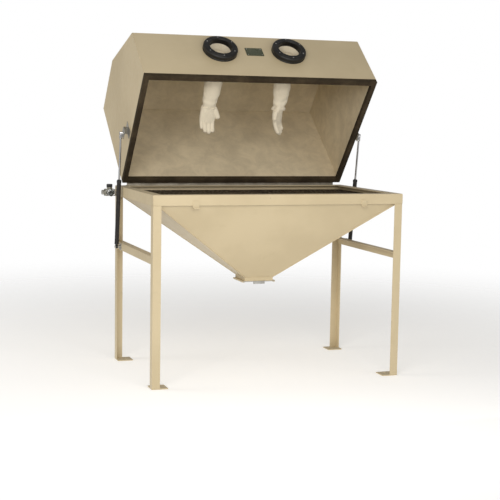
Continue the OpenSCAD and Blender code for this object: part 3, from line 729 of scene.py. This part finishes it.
def make_hopper_welds():
    low, high = box("hopper_front")
    collar_low, collar_high = box("outlet_collar")
    back = box("hopper_rear")[1]
    half = (collar_high.y - collar_low.y) / 2
    mid_y = (low.y + back.y) / 2
    welds("hopper_corner_welds", [
        ((sx * half, mid_y + sy * half, low.z), (sx * high.x, mid_y + sy * (back.y - mid_y), high.z))
        for sx, sy in corners(1, 1)
    ], 2.8)
    z = low.z - 0.5 * MM
    square = [(sx * half, mid_y + sy * half, z) for sx, sy in ((-1, -1), (1, -1), (1, 1), (-1, 1))]
    welds("collar_welds", list(zip(square, square[1:] + square[:1])), 2.2)
    # Flange bead round the dust spigot where it leaves the hopper's rear panel
    spigot = middle(*box("dust_spigot"))
    r = 38 * MM
    slope = (back.y - mid_y - half) / (back.z - low.z)
    points = []
    for i in range(181):
        angle = TAU * i / 180
        z = spigot.z + r * math.sin(angle)
        y = mid_y + half + slope * (z - low.z) + 0.5 * MM
        points.append(Vector((spigot.x + r * math.cos(angle), y, z)))
    bm = bmesh.new()
    tube(bm, points, lambda i: (2.3 + 0.25 * math.sin(i * 2.1)) * MM, 8)
    build("spigot_weld", bm, "weld", "stand", "painted", angle=80)


def make_stand_welds():
    wall = 4 * MM
    runs, stitches = [], []
    for word_y in ("front", "rear"):
        for word_x, sx in (("left", -1), ("right", 1)):
            a, b = box(f"leg_{word_y}_{word_x}")
            x_out, x_in = (a.x, b.x) if sx < 0 else (b.x, a.x)
            y_out, y_in = (a.y, b.y) if word_y == "front" else (b.y, a.y)
            runs.append(((x_out, y_out, b.z), (x_in, y_out, b.z)))
            runs.append(((x_out, y_out, b.z), (x_out, y_in, b.z)))
            t = wall * (1 if sx < 0 else -1)
            u = wall * (1 if word_y == "front" else -1)
            runs.append(((x_out + t, y_out + u, a.z), (x_in, y_out + u, a.z)))
            runs.append(((x_out + t, y_out + u, a.z), (x_out + t, y_in, a.z)))
            stitches.append(((x_out + t * 1.2, y_out + u, b.z), (x_out + t * 1.2, y_in, b.z)))
    welds("leg_welds", runs + stitches, 2.0)
    low, high = box("side_braces")
    runs = []
    for sx in SIDES:
        for y in (low.y, high.y):
            x = sx * high.x
            runs.append(((x, y, low.z + 3 * MM), (x, y, high.z - 1 * MM)))
            runs.append(((x, y, high.z), (x - sx * 34 * MM, y, high.z)))
    welds("brace_welds", runs, 2.0)
    # The rim's corners are ground flush on top, because the lid's seal closes on them
    low, high = box("rim_front")
    welds("rim_corner_welds", [
        ((sx * high.x, y, low.z + 2 * MM), (sx * high.x, y, high.z - 2 * MM))
        for sx in SIDES for y in (low.y, RIM_HIGH.y)
    ], 1.4)
    a, b = box("strut_feet")
    runs = []
    y, reach = middle(a, b).y, 18 * MM
    for sx in SIDES:
        x = sx * (high.x + 0.2 * MM)
        runs += [((x, y - reach, z), (x, y + reach, z)) for z in (a.z, b.z)]
    welds("strut_foot_welds", runs, 1.8)
    a, b = box("front_lugs")
    welds("lug_welds", [
        ((sx * x, low.y, a.z + 4 * MM), (sx * x, low.y, b.z))
        for sx in SIDES for x in (b.x, b.x - 28 * MM)
    ], 1.5)


def make_lid_welds():
    a, b = local_box("strut_brackets", LID)
    runs = []
    for sx in SIDES:
        x = sx * (SIDE_HIGH.x + 0.2 * MM)
        for y in (a.y, b.y):
            runs.append(((x, y, b.z - 60 * MM), (x, y, b.z)))
        runs.append(((x, a.y, b.z), (x, b.y, b.z)))
    welds("strut_bracket_welds", runs, 1.8, "lid", LID)
    # Inside seams, stitched
    runs = []
    inset, low_z = 3 * MM, 0.03
    pitch = 0.12
    x, top = SIDE_HIGH.x - inset, REAR_HIGH.z - inset
    for sx in SIDES:
        outline = [Vector((sx * x, y, z)) for y, z in (
            (REAR_HIGH.y - inset, low_z), (REAR_HIGH.y - inset, top), (TOP_LOW.y, top),
            (FRONT_LOW.y + inset, FRONT_HIGH.z - 2 * MM), (FRONT_LOW.y + inset, low_z))]
        for p, q in zip(outline, outline[1:]):
            count = max(2, round((q - p).length / pitch))
            runs += [(p.lerp(q, (i + 0.3) / count), p.lerp(q, (i + 0.62) / count)) for i in range(count)]
    z = REAR_HIGH.z - 2.6 * MM
    for y in (REAR_HIGH.y - 2.6 * MM, TOP_LOW.y + 1 * MM):
        for i in range(9):
            x = -0.56 + i * 0.132
            runs.append(((x, y, z), (x + 0.042, y, z)))
    welds("lid_seam_welds", runs, 1.8, "lid", LID, "lining_weld")


def make_fasteners():
    high = local_box("window_frame", SLOPE)[1]
    dx, dy, top = high.x - 12 * MM, high.y - 12 * MM, high.z
    spots = [((i * dx / 2, side * dy, top), (0, 0, 1)) for i in range(-2, 3) for side in SIDES]
    spots += [((side * dx, 0, top), (0, 0, 1)) for side in SIDES]
    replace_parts(heads("frame_button_screws", spots, SLOPE, 5.2, 3.0, "lid"), "frame_screws")
    xs = [-0.532 + 0.1064 * i for i in range(11)]
    heads("hinge_lid_screws", [((x, -5 * MM, 0.025), (0, 1, 0)) for x in xs], LID, 4, 2.2, "lid")
    y, z = box("hinge_leaf_rim")[1].y - 8 * MM, RIM_HIGH.z + 2 * MM
    heads("hinge_rim_screws", [((x, y, z), (0, 0, 1)) for x in xs], STILL, 4, 2.2, "stand")
    outer = box("strut_feet")[1].x - 4.2 * MM
    bm = bmesh.new()
    pivot = Vector(JOINTS["strut_right_tilt"]["pos_m"])
    for sx in SIDES:
        nut(bm, facing((sx * outer, pivot.y, pivot.z), (sx, 0, 0)), 13, 3.6)
    build("strut_nuts", bm, "zinc", "stand", "zinc_steel", angle=30)
    a, b = local_box("strut_brackets", LID)
    spots = [((sx * (SIDE_HIGH.x + 3 * MM), y, b.z - z), (sx, 0, 0))
             for sx in SIDES for y in (a.y + 8 * MM, b.y - 8 * MM) for z in (9 * MM, 28 * MM)]
    heads("bracket_screws", spots, LID, 4, 2.4, "lid")


# ---------- arm ports


PORT_PROFILE = (
    [(58, -34), (62, -34), (62, -0.2), (88, -0.2), (88.6, 2), (88.4, 5.5), (86.4, 7), (86.4, 8.5), (88.2, 10)]
    + arc((78.6, 20.5), 10, 0, 78, 9)
    + [(79.6, 29.4), (78.4, 29.4), (77.6, 30.6), (70, 31.2), (69.2, 29.6), (67.8, 29.6)]
    + arc((62.6, 26.8), 5.1, 62, 180, 10)
    + [(57.5, 20), (58.6, 16), (58, 8)]
)
# The cuff's hem, turned in over the neck's inner end and laid back along its bore
HEM_PROFILE = (
    [(57.6, 0.6), (56.9, 0.9), (56.3, 1.8), (56.1, 4)]
    + [(56.3 + 0.25 * math.sin(k * 1.3), -2 - 2.4 * k) for k in range(14)]
    + [(57.2, -36.2), (59.5, -37.6), (62.5, -37.6), (64.6, -36)]
    + [(63.0, -34.6), (58.6, -34.6), (57.9, -33), (57.9, 0)]
)
PORT_SCREW_CIRCLE = 73.7 * MM


def make_ports():
    for side, word in ((-1, "left"), (1, "right")):
        matrix = port_matrix(side) @ Matrix.Rotation(math.radians(90), 4, "X")      # Z points out of the lid
        bm = bmesh.new()
        turned_about(bm, PORT_PROFILE, STILL, 96)
        ring = build(f"port_ring_{word}_moulded", bm, "ring", "lid", "port_rubber", matrix,
                     angle=50)
        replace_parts(ring, f"port_ring_{word}")
        bm = bmesh.new()
        turned_about(bm, HEM_PROFILE, STILL, 96)
        for v in bm.verts:
            if math.hypot(v.co.x, v.co.y) < 57.5 * MM:
                v.co += Vector((v.co.x, v.co.y, 0)).normalized() * 0.5 * MM * noise.noise(v.co * 60)
        build(f"glove_{word}_hem", bm, "cloth", "lid", "glove_fabric", matrix, angle=70)
        turns = [TAU * (i + 0.5) / 6 for i in range(6)]
        spots = [((PORT_SCREW_CIRCLE * math.cos(a), PORT_SCREW_CIRCLE * math.sin(a), 30.4 * MM), (0, 0, 1))
                 for a in turns]
        heads(f"port_screws_{word}", spots, matrix, 3.6, 2.0, "lid", "pin")


def make_clamps():
    """Worm-drive bands that hold the gloves' cuffs on the ports' necks."""
    start, end, r = 18, 30, 64.2

    def band(i):
        slot = 0.45 if (i % 4 < 2 and 20 < i < 160) else 0.0
        return [(r, start), (r + 1.5, start), (r + 1.5, start + 1.4), (r + 1.0, start + 2.2),
                (r + 1.0 - slot, start + 3.6), (r + 1.0 - slot, end - 3.6),
                (r + 1.0, end - 2.2), (r + 1.5, end - 1.4), (r + 1.5, end), (r, end)]
    top = r + 1.2
    housing = [(-9, 0), (-9, 4), (-6.5, 8.6), (-3, 10.2), (3, 10.2), (6.5, 8.6), (9, 4), (9, 0)]
    bm = bmesh.new()
    for side in SIDES:
        matrix = port_matrix(side) @ Matrix.Rotation(math.radians(-90), 4, "X")     # Z runs into the lid
        turned_about(bm, band, matrix @ Matrix.Rotation(math.radians(-90), 4, "Z"), 180)
        loft(bm, [[matrix @ (Vector((x, -(top + h), z)) * MM) for x, h in housing]
                  for z in (start + 0.3, end - 0.3)])
        at = Vector((0, -(top + 5.4), (start + end) / 2)) * MM
        screw = matrix @ Matrix.Translation(at) @ Matrix.Rotation(math.radians(90), 4, "Y")
        points = [screw @ Vector((0, 0, (-11 + 22 * k / 30) * MM)) for k in range(31)]
        tube(bm, points, lambda i: (3.3 + 0.5 * (i % 2)) * MM, 12)
        head(bm, screw @ Matrix.Translation((0, 0, 10.5 * MM)), 4.6, 3.6)
    clamps = build("glove_clamp_bands", bm, "zinc", "lid", "zinc_steel", angle=30)
    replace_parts(clamps, "glove_clamps")


def make_nameplate():
    low, high = local_box("nameplate", LID)
    mid, half = middle(low, high), (high - low) / 2
    face = FRONT_LOW.y - 1.5 * MM

    def outline(inset, y):
        corner = max(0.6, 4 - inset) * MM
        return rounded(Vector((mid.x, y, mid.z)), half.x - inset * MM, half.z - inset * MM, corner)
    steps = ((0, 0.4), (0.4, 0), (2.4, 0), (2.9, 0.5), (4.2, 0.5), (4.6, 0.1), (5.2, 0.1), (5.6, 0.5))
    bm = bmesh.new()
    loft(bm, [outline(0, high.y)] + [outline(inset, face + sunk * MM) for inset, sunk in steps])
    plate = build("nameplate_pressed", bm, "plate", "lid", "plate_green", LID, angle=25)
    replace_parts(plate, "nameplate")
    dx, dz = half.x - 9 * MM, half.z - 9 * MM
    spots = [((mid.x + x, face + 0.4 * MM, mid.z + z), (0, -1, 0)) for x, z in corners(dx, dz)]
    heads("nameplate_rivets", spots, LID, 2.4, 1.2, "lid", slot="plate_green", socket=0.3)


# ---------- air regulator, switch, lamp, gun


def make_gauge():
    low, high = box("regulator_gauge")
    centre = Vector(((low.x + high.x) / 2, low.y + 3.6 * MM, (low.z + high.z) / 2))
    upright = Matrix.Translation(centre) @ Matrix.Rotation(math.radians(90), 4, "X")

    def turned(angle):
        return upright @ Matrix.Rotation(math.radians(angle), 4, "Z")
    bm = bmesh.new()
    turned_about(bm, [(0.3, 0), (16.6, 0), (16.6, 0.5), (16.0, 0.5), (15.2, 0.25), (0.3, 0.25)], upright)
    build("gauge_dial", bm, "dial", "stand", "gauge_black", angle=30)
    bm = bmesh.new()
    for i in range(31):
        length, width = (3.2, 0.55) if i % 5 == 0 else (1.7, 0.3)
        mark = Matrix.Translation(((14.6 - length / 2) * MM, 0, 0.35 * MM))
        size = Matrix.Diagonal((length * MM, width * MM, 0.2 * MM, 1))
        bmesh.ops.create_cube(bm, size=1, matrix=turned(225 - 9 * i) @ mark @ size)
    needle = ((-4, -0.9), (-4, 0.9), (12.2, 0.18), (12.2, -0.18))
    loft(bm, [[turned(128) @ (Vector((x, y, z)) * MM) for x, y in needle] for z in (0.9, 1.3)])
    turned_about(bm, [(0.2, 0.2), (1.9, 0.2), (1.7, 1.9), (0.2, 2.1)], upright, 20)
    for i in range(7):
        a = math.radians(225 - 45 * i)
        curve = bpy.data.curves.new("digits", "FONT")
        curve.body = str(2 * i)
        curve.size = 3.4 * MM
        curve.extrude = 0.1 * MM
        curve.align_x, curve.align_y = "CENTER", "CENTER"
        holder = bpy.data.objects.new("digits", curve)
        mesh = bpy.data.meshes.new_from_object(holder)
        at = Vector((8.8 * math.cos(a), 8.8 * math.sin(a), 0.35)) * MM
        mesh.transform(upright @ Matrix.Translation(at))
        bm.from_mesh(mesh)
        bpy.data.objects.remove(holder)
    build("gauge_marks", bm, "black", "stand", "gauge_black", smooth=False)
    bm = bmesh.new()
    bezel = [(17.0, -0.5)] + arc((18.1, 2.6), 1.4, 200, -20, 10) + [(19.5, -2), (18.6, -2)]
    turned_about(bm, bezel, upright, 64)
    build("gauge_bezel", bm, "chrome", "stand", "zinc_steel", angle=40)
    bm = bmesh.new()
    rings = []
    for q, z in ((16.9, 2.2), (16.9, 2.5), (14, 3.1), (9, 3.5), (3, 3.65)):
        turns = [TAU * i / 48 for i in range(48)]
        rings.append([upright @ (Vector((q * math.cos(a), q * math.sin(a), z)) * MM) for a in turns])
    loft(bm, rings)
    build("gauge_lens", bm, "glass", "stand", "window_glass", angle=60)


def make_knob():
    """Fluted grip over the stem, with a dished top and a pointer groove."""
    axis = Vector(JOINTS["regulator_turn"]["pos_m"])
    base, top = RIM_HIGH.z - 7.6 * MM, box("regulator_knob")[1].z

    def fluted(q, z, deep):
        ring = []
        for i in range(144):
            r = (q - deep * abs(math.sin(9 * TAU * i / 144)) ** 0.6) * MM
            a = TAU * i / 144
            ring.append(Vector((axis.x + r * math.cos(a), axis.y + r * math.sin(a), z)))
        return ring
    skirt = ((13.2, 0, 0), (14.8, 0.8, 0.1), (15.4, 2.5, 0.9))
    dome = ((15.4, 3.5, 0.9), (14.6, 1.2, 0.5), (13.0, 0.3, 0), (10.5, 0, 0), (9.8, 0.6, 0), (2.0, 0.6, 0))
    bm = bmesh.new()
    loft(bm, [fluted(q, base + h * MM, deep) for q, h, deep in skirt]
         + [fluted(q, top - h * MM, deep) for q, h, deep in dome])
    heights = (RIM_HIGH.z - 36 * MM, RIM_HIGH.z - 20 * MM, base + 0.5 * MM)
    tube(bm, [Vector((axis.x, axis.y, z)) for z in heights], 3.9 * MM, 24)
    groove = Vector((axis.x, axis.y, top))
    bar(bm, groove + Vector((-0.8, 3, -1)) * MM, groove + Vector((0.8, 9, -0.1)) * MM)
    knob = build("regulator_knob_fluted", bm, "black", "knob", "gauge_black", angle=40)
    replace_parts(knob, "regulator_knob")


def make_regulator_fittings():
    """Inlet hexagon, plug and the bonnet's bolts."""
    axis = Vector(JOINTS["regulator_turn"]["pos_m"])
    z = RIM_HIGH.z - 34 * MM
    bm = bmesh.new()
    ring_nut(bm, facing((box("regulator_body")[0].x + 4 * MM, axis.y, z), (-1, 0, 0)), 24, 7, 11.05)
    nut(bm, facing((axis.x, axis.y + 20 * MM, z), (0, 1, 0)), 14, 4)
    build("regulator_fittings", bm, "zinc", "stand", "cast_zinc", angle=30)
    dx, top = 19 * MM, RIM_HIGH.z - 18 * MM
    spots = [((axis.x + x, axis.y + y, top), (0, 0, 1)) for x, y in corners(dx, 15 * MM)]
    spots += [((axis.x + sx * dx, axis.y - 20 * MM, z + dz), (0, -1, 0))
              for sx in SIDES for dz in (10 * MM, -12 * MM)]
    heads("regulator_screws", spots, STILL, 2.8, 2, "stand")


def make_switch():
    low, high = box("switch_box")
    y = low.y
    box_height = 90 * MM
    mid_x, mid_z = middle(*box("light_switch")).x, high.z - box_height / 2
    bm = bmesh.new()
    wrap(bm, [rounded(Vector((mid_x, y - out * MM, mid_z)), w * MM, h * MM, r * MM) for w, h, out, r in (
        (30, 44, 0, 3), (30, 44, 1.2, 3), (29.2, 43.2, 2, 2.6), (13.4, 15.4, 2, 1.6),
        (13, 15, 3.2, 1.5), (11.6, 13.6, 3.2, 1.2), (11, 13, 2.4, 1), (11, 13, 0, 1))])
    build("switch_cover", bm, "grey", "stand", "box_grey", angle=30)
    spots = [((mid_x + x, y - 2 * MM, mid_z + z), (0, -1, 0)) for x, z in corners(24 * MM, 38 * MM)]
    heads("switch_screws", spots, STILL, 2.6, 1.6, "stand")
    bm = bmesh.new()
    gland = Vector((mid_x, (low.y + high.y) / 2, high.z - box_height))
    ring_nut(bm, Matrix.Translation(gland - Vector((0, 0, 6 * MM))), 26, 5, 11.1)
    ring_nut(bm, Matrix.Translation(gland - Vector((0, 0, 13.5 * MM))), 23, 4, 10)
    build("gland_nuts", bm, "black", "stand", "black_plastic", angle=30)


CAP_PROFILE = ((0.4, 0.1), (10.6, 0.1), (10.8, 1), (10.8, 17), (10.3, 18), (9.6, 18), (9.6, 1.2), (0.4, 1.2))
HOLDER_PROFILE = ((0.5, -1), (13.2, -1), (13.6, 0.5), (13.6, 7), (12.6, 8), (11.1, 8), (11.1, 0.2),
                  (0.5, 0.2))


def make_lamp():
    low, high = local_box("lamp_tube", LID)
    y, z = (low.y + high.y) / 2, (low.z + high.z) / 2
    ends = ((-1, low.x), (1, high.x))
    bm = bmesh.new()
    for side, x in ends:
        turned_about(bm, CAP_PROFILE, facing((x, y, z), (-side, 0, 0)), 40)
    build("lamp_caps", bm, "zinc", "lid", "zinc_steel", LID, angle=40)
    bm = bmesh.new()
    for side, x in ends:
        turned_about(bm, HOLDER_PROFILE, facing((x + side * 0.5 * MM, y, z), (-side, 0, 0)), 32)
        mid = x - side * 1 * MM
        bar(bm, (mid - 4 * MM, y - 10 * MM, z + 8 * MM), (mid + 4 * MM, y + 10 * MM, z + 16 * MM))
    build("lamp_holders", bm, "white", "lid", "lamp_white", LID, angle=40)
    low, high = local_box("light_housing", LID)
    spots = [((x, y + sy * 18 * MM, low.z), (0, 0, -1))
             for x in (low.x + 12 * MM, high.x - 12 * MM) for sy in SIDES]
    heads("lamp_screws", spots, LID, 3, 1.8, "lid")


def make_gun():
    low, high = local_box("gun_nozzle", LID)
    axis_x, axis_z = (low.x + high.x) / 2, (low.z + high.z) / 2
    y = low.y + 95 * MM                 # the gun's own origin along its barrel
    barb = [(6.0, 0)]
    for i in range(5):
        barb += [(8.6, -0.6 - 3.6 * i), (7.0, -3.6 - 3.6 * i)]
    barb += [(6.0, -19)]
    barb_top = Vector((axis_x, y - 30 * MM, axis_z - 40 * MM))
    bm = bmesh.new()
    turned_about(bm, barb, Matrix.Translation(barb_top), 40)
    ring_nut(bm, Matrix.Translation(barb_top - Vector((0, 0, 1 * MM))), 20, 7, 8.9)
    ring_nut(bm, facing((axis_x, y + 60.5 * MM, axis_z), (0, 1, 0)), 21, 8, 8.9)
    build("gun_fittings", bm, "diecast", "lid", "gun_alloy", LID, angle=30)

    def knurled(i):
        r = 16.9 - 0.7 * (-i % 4 > 1)
        return [(13.0, -66.4), (15.2, -66.4), (16.2, -65.4), (r, -64.6), (r, -53.4),
                (16.2, -52.6), (16.2, -50.4), (13.0, -50.4)]
    barrel = Matrix.Translation((axis_x, y, axis_z)) @ Matrix.Rotation(math.radians(-90), 4, "X")
    bm = bmesh.new()
    turned_about(bm, knurled, barrel, 120)
    build("gun_nozzle_nut", bm, "pin", "lid", "gun_alloy", LID, angle=30)
    spots = [((axis_x + sx * 12 * MM, y + dy * MM, axis_z - h * MM), (sx, 0, 0))
             for sx in SIDES for dy, h in ((58, 26), (46, 78))]
    heads("gun_screws", spots, LID, 2.8, 1.6, "lid")


# Heights along a strut, in millimetres from its foot
GLAND_PROFILE = ((5.6, 334), (10.9, 334), (12.0, 335), (12.0, 343), (11.2, 346.5), (8.4, 347.4), (7.4, 349.6),
                 (6.0, 350.4), (5.6, 349))
END_CAP_PROFILE = ((9.8, 13.6), (10.8, 13.4), (11.5, 14.2), (11.5, 17), (10.9, 18.2), (11.2, 19.4),
                   (10.8, 20.4), (9.8, 20.2))
LOCKNUT_HEIGHT = 558.1


def make_struts():
    for word in ("left", "right"):
        pivot = Vector(JOINTS[f"strut_{word}_tilt"]["pos_m"])
        axis = Vector(JOINTS[f"rod_{word}_slide"]["axis"])
        if axis.z < 0:
            axis = -axis
        matrix = Matrix.Translation(pivot) @ axis.to_track_quat("Z", "X").to_matrix().to_4x4()
        bm = bmesh.new()
        turned_about(bm, GLAND_PROFILE, matrix)
        turned_about(bm, END_CAP_PROFILE, matrix)
        build(f"strut_caps_{word}", bm, "black", f"strut_{word}", "strut_black", angle=35)
        bm = bmesh.new()
        ring_nut(bm, matrix @ Matrix.Translation((0, 0, LOCKNUT_HEIGHT * MM)), 13, 5, 5.05)
        build(f"rod_locknut_{word}", bm, "zinc", f"rod_{word}", "rod_chrome", angle=30)


# ---------- camera, light, floor


def make_camera():
    """A long lens from the left front, a little above the rim."""
    data = bpy.data.cameras.new("camera")
    data.sensor_width = 36
    data.lens = 86.9
    camera = add("camera", data)
    at = HINGE + Vector((-2.054, -6.118, 0.347))
    yaw, pitch, roll = 0.339, 0.111, 0.017
    ahead = Vector((math.sin(yaw) * math.cos(pitch), math.cos(yaw) * math.cos(pitch), -math.sin(pitch)))
    level = Vector((math.cos(yaw), -math.sin(yaw), 0))
    above = level.cross(ahead)
    right = level * math.cos(roll) + above * math.sin(roll)
    over = above * math.cos(roll) - level * math.sin(roll)
    camera.matrix_world = Matrix((
        (right.x, over.x, -ahead.x, at.x),
        (right.y, over.y, -ahead.y, at.y),
        (right.z, over.z, -ahead.z, at.z),
        (0, 0, 0, 1)))
    data.clip_end = 200
    bpy.context.scene.camera = camera


def softbox(name, at, target, size, power, tint=(1, 1, 1)):
    data = bpy.data.lights.new(name, "AREA")
    data.shape = "RECTANGLE"
    data.size, data.size_y = size
    data.energy = power
    data.color = tint
    lamp = add(name, data)
    lamp.location = at
    lamp.visible_camera = False
    lamp.rotation_mode = "QUATERNION"
    lamp.rotation_quaternion = (Vector(target) - Vector(at)).to_track_quat("-Z", "Y")


def make_floor():
    """A pale floor that fades into the background far from the object."""
    bm = bmesh.new()
    bmesh.ops.create_circle(bm, cap_ends=True, segments=64, radius=60)
    floor_mesh = from_bmesh("floor", bm, Matrix.Translation((0, 0, -0.0005)))
    floor = add("floor", floor_mesh)
    sh = Shader("floor")
    sh.set(Base_Color=(0.86, 0.855, 0.845, 1), Roughness=0.9, Specular_IOR_Level=0.2,
           Emission_Color=(1, 0.99, 0.97, 1), Emission_Strength=0.32)
    length = sh.node("VectorMath", {0: sh.place}, operation="LENGTH").outputs["Value"]
    sh.set(Alpha=sh.span(length, 0.9, 4.6, 1.0, 0.0))
    floor_mesh.materials.append(sh.material)


def make_world():
    """White where the camera sees it, dimmer as a light."""
    world = bpy.data.worlds.new("studio")
    world.use_nodes = True
    nodes, links = world.node_tree.nodes, world.node_tree.links
    seen = nodes["Background"]
    seen.inputs["Color"].default_value = (1, 1, 1, 1)
    seen.inputs["Strength"].default_value = 1.0
    lighting = nodes.new("ShaderNodeBackground")
    lighting.inputs["Color"].default_value = (1, 0.99, 0.975, 1)
    lighting.inputs["Strength"].default_value = 0.36
    rays, choose = nodes.new("ShaderNodeLightPath"), nodes.new("ShaderNodeMixShader")
    links.new(rays.outputs["Is Camera Ray"], choose.inputs[0])
    links.new(lighting.outputs[0], choose.inputs[1])
    links.new(seen.outputs[0], choose.inputs[2])
    links.new(choose.outputs[0], nodes["World Output"].inputs["Surface"])
    bpy.context.scene.world = world


def make_lights():
    softbox("key", (-3.0, -4.6, 2.5), (0, 0, 0.9), (2.2, 1.8), 86, (1, 0.975, 0.94))
    softbox("fill", (3.4, -3.6, 1.6), (0, 0, 0.8), (1.8, 1.8), 14, (0.98, 0.99, 1))
    softbox("front", (-0.4, -2.6, 1.5), (0, 0.2, 1.3), (1.6, 0.8), 24, (1, 0.985, 0.96))
    softbox("bounce", (0, -1.5, 0.03), (0, -0.1, 0.8), (2.8, 1.0), 2, (1, 0.985, 0.96))
    softbox("left", (-4.2, 0.6, 1.7), (-0.6, 0.1, 1.3), (1.6, 1.6), 42, (1, 0.98, 0.95))
    softbox("top", (0.2, 1.4, 4.4), (0, 0, 0.6), (3.0, 3.0), 5)


# ---------- main

make_materials()
make_camera()
make_floor()
make_world()
make_lights()
dress_cad_nodes()
make_hopper_welds()
make_stand_welds()
make_lid_welds()
make_fasteners()
make_ports()
make_clamps()
make_nameplate()
make_gauge()
make_knob()
make_regulator_fittings()
make_switch()
make_lamp()
make_gun()
make_struts()
make_glove(-1, seed=3.0, lean=-0.038, twist=0.15, narrow=0.96, curl=0.3, spread=-0.02)
make_glove(1, seed=8.0, lean=-0.012, twist=0.75, narrow=0.82, curl=0.4, spread=-0.12)
bpy.context.scene.view_settings.view_transform = "Standard"
